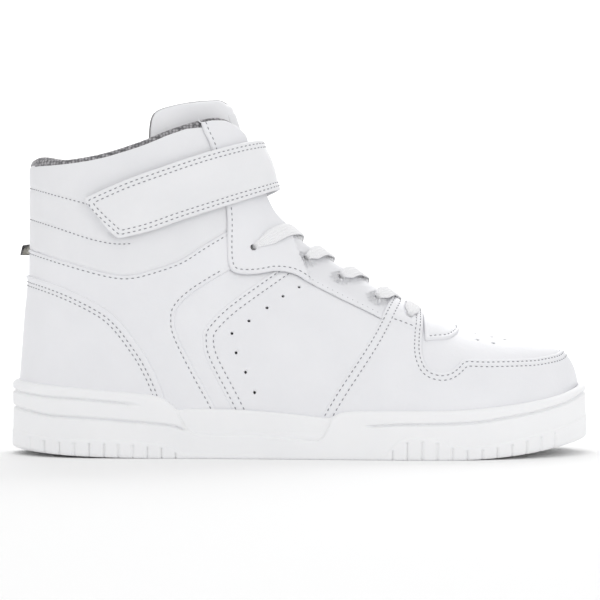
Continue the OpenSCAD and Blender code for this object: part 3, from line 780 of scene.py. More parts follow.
def make_throat_patch():
    patch = Patch(over_ridge(5.2, 7.5, 46, 30, [[0, 0.7], [10, 0.7]]))
    view = np.vstack([[[60.6, 90], [60.6, 56]], smooth_line([[66, 56.6], [72, 57], [76.5, 59],
                     [79, 62], [80, 70]]), [[80, 90]]])
    patch.cut(view)
    patch.levels("view", *EDGE_CUTS, 1.6, 2.4)
    d = patch["view"]
    outer = OVER_OUT - 0.15 + roll(d, 0.9, 1.0) + groove(d, 1.6) + crown(d, 2.4, 6, 0.5)
    panel("throat_patch", patch, outer, OVER_IN - 0.3)
    sewing.rows(patch, outer, "view", 1.6, where=patch["x"] > 63)


def make_quarter(side, name):
    patch = Patch(one_side(6.9, 12.4, 130, 84, 0, 0.975, side))
    view = np.vstack([[[49.4, 84], [45.2, 66], [37.2, 52], [21.6, 30], [7.6, 8], [7.6, -5],
                       [-50, -5], [-50, 100], [-36, 109], [-28, 114], [-18, 124], [0, 140]]])
    patch.add("view", to_outline(patch["x"], patch["z"], view))
    patch.line("hex", HEX_INNER)
    patch.drop("view")
    patch.drop("hex", -3.4)
    patch.levels("hex", -3.3, -3.0, -1.75, 0, 1.75, 2.8)
    d = patch["hex"] + 3.4
    outer = 0.45 + roll(d, 0.5, 0.3) + crown(patch["hex"], 3, 16, 0.45)
    outer = outer + groove(patch["hex"], -1.75) + groove(patch["hex"], 1.75)
    before = len(outer)
    patch.holes(on_skin(SIDE_HOLES, side), 0.78)
    patch.holes(on_skin(EYELETS[1:], side), EYELET_RADIUS)
    outer = np.concatenate([outer, 0.45 + crown(patch["hex"][before:], 3, 16, 0.45)])
    panel(f"quarter_{name}", patch, outer, BASE_IN)
    sewing.rows(patch, outer, "hex", -1.75, 1.75)


def make_side_panel(side, name):
    patch = Patch(one_side(8.2, 12.0, 70, 46, 0, 0.93, side))
    view = np.vstack([HEX_OUTER + [-3, 0], [[-37, -5], [-12, -5]], HEX_INNER[::-1] + [-1, 0]])
    patch.cut(view)
    outer = np.full(len(patch.data), 0.15)
    panel(f"side_panel_{name}", patch, outer, BASE_OUT)


LOW_FRONT = [[-20, 13.2], [-24, 60], [-27, 114]]


def make_rear_quarter():
    patch = Patch(round_heel(13.2, 109, LOW_FRONT, 78, 96))
    view = np.vstack([ANKLE_LINE[ANKLE_LINE[:, 0] < -31], [[-31, 109], [-31, 92]],
                      HEX_OUTER + [2.0, 0.6], [[-36, 0], [-150, 0]]])
    patch.cut(view)
    patch.line("ankle", ANKLE_LINE, -1).line("hex", HEX_OUTER + [2.0, 0.6], -1)
    patch.levels("ankle", *EDGE_CUTS, 1.7, 2.6)
    patch.levels("hex", *EDGE_CUTS, 1.9, 2.8)
    a, b = np.maximum(patch["ankle"], 0), np.maximum(patch["hex"], 0)
    d = np.minimum(a, b)
    outer = OVER_OUT + roll(d) + groove(a, 1.7) + groove(b, 1.9) + crown(d, 2.5, 12, 0.35)
    back = ease((-118 - patch["x"]) / 12)
    outer = outer + 0.75 * back * hump(a, 1.1)
    panel("rear_quarter", patch, outer, OVER_IN)
    sewing.rows(patch, outer, "ankle", 1.7, where=patch["x"] < -37)
    sewing.rows(patch, outer, "hex", 1.9, where=patch["x"] < -37)


def make_heel_overlay():
    patch = Patch(round_heel(13.2, 95, [[-52, 13.2], [-57, 60], [-78, 88]], 68, 70))
    view = np.vstack([COUNTER_LINE, [[-61, 0], [-150, 0]]])
    patch.cut(view)
    patch.line("edge", COUNTER_LINE, -1)
    patch.levels("edge", *EDGE_CUTS, 2.2, 3.1, 4.0, 4.9)
    d = np.maximum(patch["edge"], 0)
    outer = TOP_OUT + roll(d) + groove(d, 3.1) + groove(d, 4.9, 0.2) + crown(d, 5, 16, 0.5)
    back = ease((-118 - patch["x"]) / 12)
    outer = outer + 0.7 * back * hump(d, 1.1)
    panel("heel_overlay", patch, outer, TOP_IN)
    sewing.rows(patch, outer, "edge", 3.1, 4.9)


def make_eyestay(side, name):
    patch = Patch(one_side(7.0, 15.5, 160, 64, 0.5, 0.988, side))
    behind = np.vstack([EYESTAY_REAR, [[70, 60], [70, 90], [0, 140], [-18, 142], [-24, 150],
                        [-27.5, 156.2], [-32, 160.6], [-38, 163.6], [-44, 163.4], [-50, 162]]])
    patch.cut(behind)
    patch.line("rear", EYESTAY_REAR).line("seam", SEAM, -1)
    patch.line("top", COLLAR_TOP, -1)
    patch.drop("seam", -1.5)
    patch.levels("rear", *EDGE_CUTS, 2.1, 3.0)
    patch.levels("top", *EDGE_CUTS)
    d = np.minimum(np.maximum(patch["rear"], 0), np.maximum(patch["top"], 0))
    outer = TOP_OUT + roll(d) + groove(patch["rear"], 2.1) + crown(d, 2.8, 10, 0.4)
    flare = hump(patch["x"] + 7, 8) * ease((7.5 - np.abs(patch["y"])) / 5)
    lift = (3.0 if side > 0 else 0.3) * flare * (patch["z"] > 98)
    outer = outer + lift
    before = len(outer)
    patch.holes(on_skin(EYELETS[1:], side), EYELET_RADIUS)
    outer = np.concatenate([outer, np.full(len(patch.data) - before, TOP_OUT + 0.35)])
    inner = np.concatenate([TOP_IN + lift, np.full(len(patch.data) - before, TOP_IN)])
    panel(f"eyestay_{name}", patch, outer, inner)
    sewing.rows(patch, outer, "rear", 2.1)


# ---- the padded collar ----

COLLAR_FRONT = [[-11, 82], [-15, 112], [-20.5, 130], [-25.5, 146], [-31, 162]]
COLLAR_PAD = 5.0


def pad_depth(v):
    """Thickness of the collar padding at column share v, thinner toward the front edges."""
    return COLLAR_PAD * (1 - 0.55 * ease((np.abs(v) - 0.72) / 0.28))


def blown_up(name, grid, pinned, pressure, cap):
    """Cloth simulation: a sheet held at its seams is pressed outward from inside.
    Returns how far each point moved along the sheet's outward direction, in millimetres."""
    rows, cols = grid.shape[:2]
    scale = 10
    quads = grid_quads(rows, cols).tolist()
    obj = mesh_object(name, grid.reshape(-1, 3) * scale, quads, LEATHER)
    group = obj.vertex_groups.new(name="seams")
    group.add(np.where(pinned.ravel())[0].tolist(), 1.0, "REPLACE")
    cloth = obj.modifiers.new("cloth", "CLOTH")
    cloth.settings.quality = 6
    cloth.settings.mass = 0.3
    cloth.settings.tension_stiffness = cloth.settings.compression_stiffness = 12
    cloth.settings.bending_stiffness = 0.4
    cloth.settings.vertex_group_mass = "seams"
    cloth.settings.use_pressure = True
    cloth.settings.uniform_pressure_force = pressure
    cloth.settings.effector_weights.gravity = 0
    scene = bpy.context.scene
    for number in range(1, 21):
        scene.frame_set(number)
    evaluated = obj.evaluated_get(bpy.context.evaluated_depsgraph_get())
    moved = np.zeros(rows * cols * 3, np.float32)
    evaluated.data.vertices.foreach_get("co", moved)
    scene.frame_set(1)
    bpy.data.objects.remove(obj)
    shift = moved.reshape(rows, cols, 3) / MM / scale - grid
    out = (shift * outward(grid)).sum(-1)
    print(name, "puff from", round(float(out.min()), 2), "to", round(float(out.max()), 2))
    return np.clip(out, -0.5, cap)


def upsample(values, rows, cols):
    """Values of a coarse grid at the points of a finer one."""
    r, c = values.shape
    half = np.array([np.interp(np.linspace(0, c - 1, cols), np.arange(c), row) for row in values])
    return np.array([np.interp(np.linspace(0, r - 1, rows), np.arange(r), col)
                     for col in half.T]).T


def soften(values, times=2):
    for _ in range(times):
        p = np.pad(values, 1, mode="edge")
        values = (p[:-2, 1:-1] + p[2:, 1:-1] + p[1:-1, :-2] + p[1:-1, 2:] + 2 * values) / 6
    return values


STRAP_TOP_VIEW = np.array([[-26.8, 153], [-33, 151.8], [-49, 146.8], [-68, 139.8], [-87, 132.4],
                           [-102, 125]])
STRAP_LOW_VIEW = np.array([[-17.6, 128.2], [-27, 125.4], [-42.5, 120], [-58.5, 114.4],
                           [-73, 109], [-88, 105.2]])
STRAP_OUTLINE = np.vstack([STRAP_TOP_VIEW, STRAP_LOW_VIEW[::-1]])


def make_collar():
    rows, cols, rough_rows, rough_half = 104, 104, 26, 30
    grid = round_heel(84, 149.5, COLLAR_FRONT, rows, cols)
    coarse = round_heel(84, 149.5, COLLAR_FRONT, rough_rows, rough_half)
    x, z = coarse[..., 0].ravel(), coarse[..., 2].ravel()
    seams = [ANKLE_LINE, QUILT_1, QUILT_2, COLLAR_TOP]
    gap = np.min([np.abs(to_line(x, z, line)) for line in seams], axis=0)
    under = to_outline(x, z, STRAP_OUTLINE) > -1.5
    pinned = ((gap < 1.5) | under).reshape(coarse.shape[:2])
    pinned[0] = pinned[-1] = True
    pinned[:, 0] = pinned[:, -1] = True
    puff = blown_up("collar_cloth", coarse, pinned, 3.0, 1.1)
    patch = Patch(grid)
    patch.add("puff", soften(upsample(puff, rows + 1, 2 * cols + 1)).ravel())
    patch.add("v", np.tile(np.linspace(-1, 1, 2 * cols + 1), rows + 1))
    view = np.vstack([ANKLE_LINE + [0, -2.5], [[-24, 111], [-10, 124], [0, 150]], COLLAR_TOP[::-1]])
    patch.cut(view)
    patch.line("top", COLLAR_TOP, -1).line("one", QUILT_1).line("two", QUILT_2)
    patch.line("ankle", ANKLE_LINE).line("stay", EYESTAY_REAR)
    patch.levels("top", *EDGE_CUTS, 2.0)
    patch.levels("one", -1, 0, 1)
    patch.levels("two", -1, 0, 1)
    patch.add("strap", to_outline(patch["x"], patch["z"], STRAP_OUTLINE))
    top = np.maximum(patch["top"], 0)
    soft = (1 - hump(patch["one"], 2.6)) * (1 - hump(patch["two"], 2.6))
    soft = soft * ease(patch["ankle"] / 5) * ease((-2 - patch["strap"]) / 6)
    soft = soft * ease((-1 - patch["stay"]) / 8) * ease((-78 - patch["x"]) / 12)
    quilted = patch["x"] < -84
    dips = groove(patch["one"], 0, 0.4, 1.2) + groove(patch["two"], 0, 0.4, 1.2)
    outer = OVER_OUT - 0.1 + roll(top, 2.2, 1.3) + patch["puff"] * soft + dips * quilted
    outer = outer - 1.0 * ease((0.7 - patch["ankle"]) / 1.2)
    panel("collar_cover", patch, outer, OVER_IN - 0.5, SOFT_LEATHER, "soft_leather")
    lateral_back = (patch["x"] < -88) & (patch["strap"] < -0.5)
    sewing.rows(patch, outer, "one", 0.0, where=lateral_back, pitch=2.3, length=1.5)
    sewing.rows(patch, outer, "two", 0.0, where=lateral_back | ((patch["strap"] < -1.5)
                & (patch["x"] < -80)), pitch=2.3, length=1.5)
    depth = pad_depth(patch["v"])
    foam = panel("collar_foam", patch, outer - 1.3, BASE_OUT - depth + 0.1, FOAM, "padding")
    inner = BASE_OUT - depth
    bulge = 0.8 * np.sin(np.clip(patch["top"] / 40, 0, 1) * math.pi)
    panel("collar_lining", patch, inner - 0.1, inner - 1.1 - bulge, LINING, "lining_mesh")
    make_collar_roll()


def make_collar_roll():
    """Soft mesh roll that turns over the collar's top edge."""
    edge = COLLAR_TOP[(COLLAR_TOP[:, 0] > -133.6) & (COLLAR_TOP[:, 1] > 154)
                      | (COLLAR_TOP[:, 0] > -133.6) & (COLLAR_TOP[:, 0] < -70)]
    run = run_length(edge)
    view = resample(edge, run, run[-1] * np.linspace(0, 1, 90) ** 2)
    lateral = on_skin(view[1:], -1)
    points = np.vstack([on_skin(view[1:], 1)[::-1], [[-133.8, 0, view[0, 1]]], lateral])
    back = ease((-112 - points[:, 0]) / 16)
    tangent = unit(np.gradient(points, axis=0))
    up = unit(np.array([0, 0, 1.0]) - tangent * tangent[:, 2:])
    normals = unit(np.cross(tangent, up))
    share = np.linspace(-1, 1, len(points))
    depth = pad_depth(np.sign(share) * np.sqrt(np.abs(share)))
    ends = ease((1 - np.abs(share)) / 0.04)
    height = (1.6 + 2.4 * back) * ends
    rings, sides = [], 20
    for a in np.arange(sides) * 2 * math.pi / sides:
        n_off = -depth / 2 + 0.55 + (depth / 2 + 0.35) * math.cos(a)
        u_off = (math.sin(a) * height if math.sin(a) > 0 else math.sin(a) * 4.0 * ends) - 0.2
        rings.append(points + normals * n_off[:, None] + up * u_off[:, None])
    place(tube("collar_roll", np.stack(rings, 1), LINING), "root", "lining_mesh")


def make_linings():
    for side, name in SIDES:
        patch = Patch(one_side(7.4, 11.8, 60, 30, 0, 0.975, side))
        view = np.array([[40, 90], [12, 12], [-59.6, -5], [-59.6, 94.5], [-48, 101.5], [-36, 109],
                         [-18, 124], [0, 140]], float)
        patch.cut(view)
        panel(f"quarter_lining_{name}", patch, LINING_OUT, LINING_IN, LINING, "lining_mesh")
    patch = Patch(round_heel(13.2, 104, LOW_FRONT, 50, 50))
    line = ANKLE_LINE[ANKLE_LINE[:, 0] < -61][::-1] - [0, 1.2]
    view = np.vstack([[[-150, 0], [-60.2, 0], [-60.2, 93.5]], line, [[-150, 102]]])
    patch.cut(view)
    panel("heel_lining", patch, LINING_OUT, LINING_IN, LINING, "lining_mesh")


make_vamp()
make_mudguard()
make_throat_patch()
for SIDE, NAME in SIDES:
    make_quarter(SIDE, NAME)
    make_side_panel(SIDE, NAME)
make_rear_quarter()
make_heel_overlay()
for SIDE, NAME in SIDES:
    make_eyestay(SIDE, NAME)
make_collar()
make_linings()
sewing.make("upper_stitching", THREAD_PAINTED_SHADE)

# ---- the tongue ----

TONGUE_LOW = [[7.6, 0.93], [9, 0.86], [11, 0.78], [13, 0.7], [15, 0.6], [16, 0.58]]
TONGUE_TOP = np.vstack([[[-33, 190]], smooth_line([[-33.5, 174.5], [-36, 176.4], [-41, 176],
                        [-50, 174], [-62, 170.6], [-67.6, 168.2], [-70, 164.5], [-71, 159]]),
                        [[-71.5, 145]]])


def tongue_sink(share, v):
    """How far below the skin the tongue's face lies."""
    i, j = share * 14, np.abs(v)
    return -1 - (4.6 + 1.8 * ease((i - 4) / 6)) * ease(j / 0.55) - 3 * ease((2 - i) / 2)


def make_tongue():
    rows, cols = 150, 40
    grid = over_ridge(7.7, 16, rows, cols, TONGUE_LOW)
    coarse = over_ridge(7.7, 16, 36, 10, TONGUE_LOW)
    x, z = coarse[..., 0].ravel(), coarse[..., 2].ravel()
    pinned = (np.abs(to_line(x, z, TONGUE_TOP)) < 3.5).reshape(coarse.shape[:2])
    pinned[:, :1] = pinned[:, -1:] = True
    pinned[0] = pinned[-1] = True
    puff = blown_up("tongue_cloth", coarse, pinned, 1.2, 1.6)
    patch = Patch(grid)
    share = np.repeat(np.linspace(0, 1, rows + 1), 2 * cols + 1)
    v = np.tile(np.linspace(-1, 1, 2 * cols + 1), rows + 1)
    patch_puff = soften(upsample(puff, rows + 1, 2 * cols + 1)).ravel()
    patch.add("share", share).add("v", v).add("puff", patch_puff)
    view = np.vstack([[[80, 40], [80, 110], [0, 190]], TONGUE_TOP, [[-90, 60]]])
    patch.cut(view)
    width = np.linalg.norm(grid[:, :-1] - grid[:, 1:], axis=2).sum(1) / 2
    side_gap = (1 - np.abs(patch["v"])) * np.interp(patch["share"], np.linspace(0, 1, rows + 1),
                                                    width)
    patch.add("rim", np.minimum(side_gap, patch["view"]))
    patch.levels("rim", 0.15, 0.6, 1.2, 2.4, 4.0)
    d = np.maximum(patch["rim"], 0)
    sink = tongue_sink(patch["share"], patch["v"])
    dome = roll(d, 3.2, 2.4)
    outer = sink + dome + patch["puff"] * ease(d / 6) * ease((patch["share"] - 0.5) / 0.2)
    panel("tongue_cover", patch, outer, sink - 1.2 + dome, SOFT_LEATHER, "soft_leather", "tongue")
    foam = panel("tongue_foam", patch, outer - 1.25, sink - 5.2 - dome * 0.4, FOAM, "padding",
                 "tongue")
    edge = 1.3 * hump(d, 1.0)
    panel("tongue_lining", patch, sink - 4.6 + edge * 1.6 - dome * 0.4, sink - 6.2 - dome * 0.5,
          LINING, "lining_mesh", "tongue")
    make_tongue_label(grid, patch_puff)


def make_tongue_label(grid, puff):
    """Plain woven tab sewn to the front of the tongue."""
    rows, cols = grid.shape[0] - 1, grid.shape[1] - 1
    patch = Patch(grid)
    share = np.repeat(np.linspace(0, 1, rows + 1), cols + 1)
    v = np.tile(np.linspace(-1, 1, cols + 1), rows + 1)
    length = np.linalg.norm(grid[1:, cols // 2] - grid[:-1, cols // 2], axis=-1).sum()
    patch.add("share", share).add("v", v).add("puff", puff)
    ends = np.minimum(share - 0.84, 0.925 - share) * length
    patch.add("tab", np.minimum(ends, 8.5 - np.abs(patch["y"])))
    patch.drop("tab")
    patch.levels("tab", 0.15, 0.5, 1.1)
    under = tongue_sink(patch["share"], patch["v"]) + patch["puff"]
    outer = under + 0.45 + roll(np.maximum(patch["tab"], 0), 0.5, 0.35)
    panel("tongue_label", patch, outer, under - 0.3, LABEL, "label", "tongue")


make_tongue()

# ---- the lace ----

LACE_WIDTH = 7.4
LACE_THICK = 1.3
RIBS = 5


def lace_ring(width):
    """Cross-section of the ribbed flat lace: points across and through."""
    n = RIBS * 6
    across = np.linspace(-0.5, 0.5, n + 1)
    body = np.sqrt(np.maximum(1 - (np.abs(across) * 2) ** 4, 0.05))
    ribs = 0.3 * np.abs(np.cos((across + 0.5) * RIBS * math.pi))
    top = np.stack([across * width, LACE_THICK / 2 * body + ribs * body], -1)
    under = np.stack([across[::-1] * width, -LACE_THICK / 2 * body], -1)
    return np.vstack([top, under])


def lace_strand(name, start, end, side):
    """One visible run: up out of its eyelet, over the ridge and under the far eyestay."""
    (s0, h0), (s1, h1) = start, end
    t = np.linspace(0, 1, 91) ** 1.5
    v = 2 * t - 1
    s = s0 + (s1 - s0) * (1 - (1 - t) ** 1.7)
    h = 1 - np.where(v < 0, 1 - h0, 1 - h1) * v**2
    way = np.where(v < 0, side, -side)
    p = skin(s, np.minimum(h, 0.99999), way)
    along_ridge = unit(skin(s + 0.05, h, way) - skin(s - 0.05, h, way))
    tangent = unit(np.gradient(p, axis=0))
    normal = unit(np.cross(tangent, along_ridge))
    normal = np.where(normal[:, 2:] < 0, -normal, normal)
    crossing = 0.75 if side < 0 else -0.6
    out = TOP_OUT + 0.9 + 0.8 * hump(v + 0.6, 0.3)
    out = out - 5.0 * ease((-0.97 - v) / 0.03) - 1.6 * ease((v + 0.5) / 0.5)
    out = out + crossing * hump(v, 0.25) - 4.8 * ease((v - 0.06) / 0.36)
    p = p + normal * out[:, None]
    tangent = unit(np.gradient(p, axis=0))
    across = unit(np.cross(normal, tangent))
    pinch = 0.4 + 0.6 * ease((v + 1) / 0.26)
    rings = []
    for k in range(len(v)):
        ring = lace_ring(LACE_WIDTH * pinch[k])
        fan = (1 - ease((v[k] + 1) / 0.35)) * 0.7
        curl = fan * (ring[:, 0] / LACE_WIDTH * 2) ** 2 * 1.6
        rings.append(p[k] + across[k] * ring[:, :1] + normal[k] * (ring[:, 1] - curl)[:, None])
    return tube(name, np.stack(rings), LACE)


def make_laces():
    spots = [tuple(float(c) for c in find(x, z)) for x, z in EYELETS]
    made = []
    for k, spot in enumerate(spots):
        far = spots[max(k - 1, 0)]
        far = (far[0] + (0.25 if k else 0), far[1])
        made.append(lace_strand(f"lace_{k + 1}_lateral", spot, far, -1))
        if k:
            made.append(lace_strand(f"lace_{k + 1}_medial", spot, far, 1))
    for obj in made:
        place(obj, "root", "lace_cotton")
    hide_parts("lace")


make_laces()

# ---- the ankle strap ----

STRAP_THICK = 2.4
FOLD_LATERAL, FOLD_MEDIAL = 1.35, 1.5


def strap_lift(u):
    """Height of the strap's inner face over the skin at u (0 front, positive lateral)."""
    return 3.4 + 2.8 * ease(1 - np.abs(u) / 1.6) - 1.9 * ease((-u - 1.8) / 0.5)


def strap_patch(u0, u1, columns, rows):
    """Grid of the strap between two places."""
    root0, root1 = (math.copysign(math.sqrt(abs(u)), u) for u in (u0, u1))
    r = np.linspace(root0, root1, columns + 1)
    u = (np.sign(r) * r * r)[None, :]
    e = np.linspace(0, 1, rows + 1)[:, None]
    low, top = along(STRAP_LOW_VIEW, np.abs(u)), along(STRAP_TOP_VIEW, np.abs(u))
    q = low + (top - low) * e[..., None]
    s, h = find(q[..., 0], q[..., 1])
    h = np.where(np.abs(u) < 1e-4, 1, h)
    grid = skin(s, h, np.where(u < 0, 1, -1))
    if u1 > u0:
        grid = grid[:, ::-1]
        u = u[:, ::-1]
    patch = Patch(grid)
    width = np.linalg.norm(top - low, axis=-1)
    patch.add("u", np.broadcast_to(u, grid.shape[:2]).ravel())
    gap = np.minimum(e, 1 - e) * (width if u1 < u0 else width[:, ::-1])
    patch.add("rim", gap.ravel())
    return patch


def strap_piece(name, patch, sew):
    d = np.maximum(patch["rim"], 0)
    lift = strap_lift(patch["u"])
    shape = roll(d, 1.2, 0.9) + groove(d, 1.9) + groove(d, 3.9) + crown(d, 4.5, 7, 0.55)
    outer = lift + STRAP_THICK + shape
    obj = solid(name, patch, outer, lift - 0.35 * roll(d, 1.0, 0.8), EDGE_LEATHER)
    sew.rows(patch, outer, "rim", 1.9, 3.9)
    return obj


STRAP_END = smooth_line([[-101, 130], [-102.2, 124], [-101.6, 120], [-96.4, 113.6], [-91.6, 108.8],
                         [-88.6, 106.2], [-85.4, 105], [-80, 103]])


def make_strap():
    levels = (0.1, 0.4, 1.2, 1.9, 2.9, 3.9, 5.0)
    tab = strap_patch(5.4, 0.0, 150, 40)
    end = to_line(tab["x"], tab["z"], STRAP_END)
    end = np.where(tab["x"] < -70, end, 99)
    merged = np.minimum(tab["rim"], end)
    tab.data[:, tab.column["rim"]] = merged
    tab.drop("rim")
    tab.levels("rim", *levels)
    front = strap_patch(0.0, -4.0, 120, 40)
    back = np.where(front["u"] < -3, (front["u"] + 4.0) * 16, 99)
    front.data[:, front.column["rim"]] = np.minimum(front["rim"], back)
    front.levels("rim", *levels)
    return tab, front


def hinge_points(u, spread):
    """Two points on the strap on either side of a fold, in metres."""
    found = []
    for at in (u - spread, u + spread):
        q = (along(STRAP_LOW_VIEW, abs(at)) + along(STRAP_TOP_VIEW, abs(at))) / 2
        s, h = find(q[0], q[1])
        found.append(skin(s, h, 1 if at < 0 else -1) * MM)
    return found


def build_strap():
    tab, front = make_strap()
    for name, patch, bodies, nodes, fold in (
        ("strap_tab", tab, ("strap_front", "strap_end"), ("strap_tab",), FOLD_LATERAL),
        ("strap_bridge", front, ("strap_front", "root"), ("strap_bridge", "strap_anchor"),
         -FOLD_MEDIAL),
    ):
        sew = Sewing()
        obj = strap_piece(name, patch, sew)
        thread = mesh_object(f"{name}_stitching", sew.verts, sew.faces, THREAD_PAINTED_SHADE)
        a, b = hinge_points(fold, 0.3)
        if fold < 0:
            a, b = b, a
        for piece, slot in ((obj, "strap_leather"), (thread, "lace_cotton")):
            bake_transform(piece)
        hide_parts(*nodes)


build_strap()

# ---- the sole ----

PLAN_STEPS = 620
WALL_ROWS = 84
WALL = 4.3
RIB_PITCH, RIB_START = 6.9, -114.5


def cup_top(x):
    """Height of the sole wall's top edge."""
    return curve([[-146, 37.8], [-130, 36], [-120, 35], [-96, 33.1], [-76, 31.3], [-69, 30.2],
                  [-65, 28.6], [-61.6, 26], [-58.5, 23.6], [-54, 23.9], [-48, 24], [-24, 23.3],
                  [0, 21.3], [12, 19.9], [15, 20.2], [19, 22.3], [28, 23.2], [71, 23.6],
                  [90, 24.9], [111, 27.3], [124, 29.6], [134, 32.5], [146, 37]], x)


def ground(x):
    """Underside of the sole: toe spring, and a slight rise at the heel."""
    return 9 * (np.maximum(x - 70, 0) / 72) ** 2 + 3.0 * (np.maximum(-62 - x, 0) / 76) ** 2


def plan_line():
    """Points and outward directions of the foot bed's outline."""
    back = float(curve(HEEL_BACK, 13))
    middle, half = (back + TOE_X) / 2, (TOE_X - back) / 2
    xs = middle - half * np.cos(np.linspace(0, math.pi, PLAN_STEPS + 1))
    rows = []
    for side in (-1, 1):
        x = xs[:-1] if side < 0 else xs[::-1][:-1]
        c, w = body_at(x, np.full_like(x, 13.0))
        rows.append(np.stack([x, c + side * w], -1))
    ring = np.vstack([*rows, rows[0][:1]])
    run = run_length(ring)
    p = resample(ring, run, np.linspace(0, run[-1], 2 * PLAN_STEPS + 1)[:-1])
    d = unit(np.roll(p, -1, 0) - np.roll(p, 1, 0))
    for _ in range(6):
        d = unit(np.roll(d, -1, 0) + np.roll(d, 1, 0) + 2 * d)
    return p, np.stack([d[:, 1], -d[:, 0]], -1)


GROOVE_HEEL_1 = [[-146, 32.6], [-138, 31.6], [-130, 30.3], [-120, 29.1], [-108, 28.4], [-96, 27.4],
                 [-84, 26.2], [-76, 25.5]]
GROOVE_HEEL_2 = [[-146, 24.6], [-138, 23.6], [-130, 22.1], [-120, 20.2], [-108, 19.5],
                 [-96, 18.8], [-84, 17.8], [-72, 16.8], [-60, 15.4], [-54.4, 13.4]]
GROOVE_FORE = [[30, 15.8], [38.5, 16.3], [48, 16.8], [62.5, 17], [82, 17.8], [96, 19.7],
               [113, 22.6], [127, 26], [132, 28], [137, 30], [146, 32]]
BAND_TOP = [[-146, 12.6], [-138, 12.4], [-130, 11.4], [-122, 10.2], [-112, 9.4], [-86, 8.8],
            [-74, 7.8], [-64, 6.8], [-60, 5.2], [-57, 3.1], [-50, 2.5], [0, 2.0], [36, 1.8],
            [41, 3.6], [46, 8.2], [51.7, 10.6], [63, 10.7], [69, 9], [75.5, 6.9], [84, 6.8],
            [96, 8.4], [110, 11.4], [122, 14.2], [132, 17.2], [146, 21]]
WAIST_LOW = [[-60, 26], [-58.5, 21.6], [-56.5, 17.5], [-54, 13.6], [-51, 11.6], [-46, 10.8],
             [-19, 10.3], [-5, 9.2], [4.8, 7.9], [8.7, 8.3], [11.5, 10.2], [13.4, 13.5],
             [15, 17.2], [16.6, 22]]


def to_rib(x):
    """Distance along the sole to the nearest gap between ribs."""
    phase = (x - RIB_START) / RIB_PITCH
    return np.abs(phase - np.round(phase)) * RIB_PITCH


def wall_offset(x, z):
    """How far the sole wall stands out of the bed outline."""
    e = WALL + 0 * x
    in_heel = ease((-62 - x) / 8)
    waist = (x > -60) & (x < 17)
    low = curve(WAIST_LOW, x)
    sunk = ease((z - low) / 1.3) * ease((x + 59.5) / 2.5) * ease((16 - x) / 2.5)
    e = e - 1.5 * sunk * waist
    ledge = hump(cup_top(x) - z - 0.9, 0.7) * waist
    e = e + 0.35 * ledge * sunk
    one = 1.6 * hump(z - curve(GROOVE_HEEL_1, x), 0.62)
    e = e - one * ease((-75 - x) / 9) * (x < -74)
    two = 1.6 * hump(z - curve(GROOVE_HEEL_2, x), 0.62)
    e = e - two * (x < -54) * ease((-53.5 - x) / 4)
    fore = 1.7 * hump(z - curve(GROOVE_FORE, x), 0.6)
    e = e - fore * ease((x - 29.5) / 6)
    band = curve(BAND_TOP, x)
    e = e + 0.45 * ease((band - z) / 0.7)
    centre = to_rib(x)
    reach = band - np.where((x < -58) | (x > 44), 1.6, 0.6)
    fade = ease((x + 134) / 12) * ease((128 - x) / 10)
    e = e - 1.1 * hump(centre, 0.42) * ease((reach - z) / 0.8) * fade
    e = e + 0.25 * in_heel * ease((z - curve(GROOVE_HEEL_2, x)) / 2)
    return e


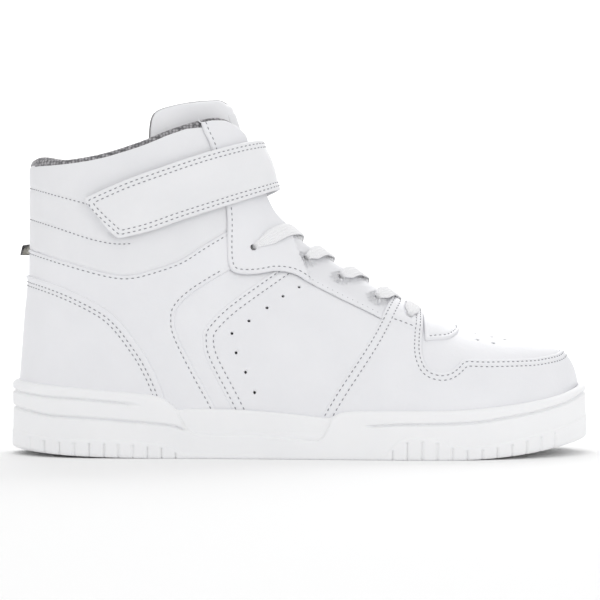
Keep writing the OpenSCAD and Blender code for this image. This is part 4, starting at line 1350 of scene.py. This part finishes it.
def make_sole_wall():
    """Moulded rubber wall round the foot: grooves, recessed waist and ribbed band."""
    p, n = plan_line()
    x = p[:, 0]
    top, low = cup_top(x), ground(x)
    rows = [(e + 0 * x, top + dz) for e, dz in ((-0.4, -2.5), (0.3, -0.7), (1.2, -0.05))]
    for a in np.linspace(0.2, 1, 6):
        angle = a * math.pi / 2
        z = top - 2.4 * (1 - math.cos(angle))
        e = 1.2 + (wall_offset(x, z) - 1.2) * math.sin(angle)
        rows.append((e, z))
    for t in np.linspace(0, 1, WALL_ROWS)[1:]:
        z = (top - 2.4) * (1 - t) + (low + 2.0) * t
        rows.append((wall_offset(x, z), z))
    edge = wall_offset(x, low + 2.0)
    heel_round = 1 + 2.2 * ease((-112 - x) / 22)
    for a in np.linspace(0, 1, 6)[1:]:
        angle = a * math.pi / 2
        z = low + 2.0 * (1 - math.sin(angle)) + 0 * x
        rows.append((edge - (1.0 * heel_round) * (1 - math.cos(angle)), z))
    rows += [(edge - 6, low + 0.4), (edge - 6, low + 4), (2.9, low + 6), (2.9, 13), (0.6, top - 3.2)]
    count, m = len(p), len(rows)
    points = np.stack([np.stack([x + n[:, 0] * e, p[:, 1] + n[:, 1] * e,
                                 np.broadcast_to(z, x.shape)], -1) for e, z in rows])
    faces = [[i * count + j, i * count + (j + 1) % count, ((i + 1) % m) * count + (j + 1) % count,
              ((i + 1) % m) * count + j] for i in range(m) for j in range(count)]
    faces = [f[::-1] for f in faces]
    obj = mesh_object("cupsole", points.reshape(-1, 3), faces, RUBBER)
    place(obj, "root", "sole_rubber", "cupsole", "heel_band", "forefoot_band", "toe_bumper",
          "waist_panel_lateral", "waist_panel_medial")


def make_outsole():
    """Ground side: bars across the sole, inside the wall's lower edge."""
    p, n = plan_line()
    inner = p + n * 3.2
    xs = np.arange(inner[:, 0].min() + 0.4, inner[:, 0].max() - 0.4, 0.8)
    half = len(p) // 2
    lat, med = inner[:half], inner[half:][::-1]
    y0 = np.interp(xs, lat[:, 0], lat[:, 1])
    y1 = np.interp(xs, med[:, 0], med[:, 1])
    t = np.linspace(0, 1, 97)[None, :]
    gx = xs[:, None] + 0 * t
    gy = y0[:, None] + (y1 - y0)[:, None] * t
    bar = to_rib(gx + 3.0 * np.abs((gy % 24) - 12) / 12)
    depth = 1.5 * ease((1.1 - bar) / 0.5)
    rim = np.minimum(t, 1 - t) * (y1 - y0)[:, None]
    depth = depth * ease((rim - 3) / 2)
    gz = ground(gx) + 0.12 + depth
    top = np.stack([gx, gy, gz], -1)
    over = np.stack([gx, gy, ground(gx) + 4.2], -1)
    rows, cols = gx.shape
    i = np.arange(rows * cols).reshape(rows, cols)
    q = grid_quads(rows, cols)
    faces = q.tolist() + (q[:, ::-1] + rows * cols).tolist()
    ring = np.concatenate([i[0, :-1], i[:-1, -1], i[-1, :0:-1], i[:0:-1, 0]])
    nxt = np.roll(ring, -1)
    faces += np.stack([nxt, ring, ring + rows * cols, nxt + rows * cols], -1).tolist()
    obj = mesh_object("outsole", np.vstack([top.reshape(-1, 3), over.reshape(-1, 3)]), faces, TREAD)
    place(obj, "root", "outsole_rubber", "outsole")


make_sole_wall()
make_outsole()

# ---- the CAD pieces that stay ----

for NODE, MATERIAL in (
    ("midsole", FOAM), ("shank", STEEL), ("lasting_board", BOARD), ("sockliner", LINING),
    ("toe_puff", BOARD), ("heel_counter", BOARD), ("vamp_lining", LINING),
    ("loop_patch", HOOKS), ("hook_patch", HOOKS),
):
    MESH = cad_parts[NODE].data
    MESH.materials.clear()
    MESH.materials.append(MATERIAL)
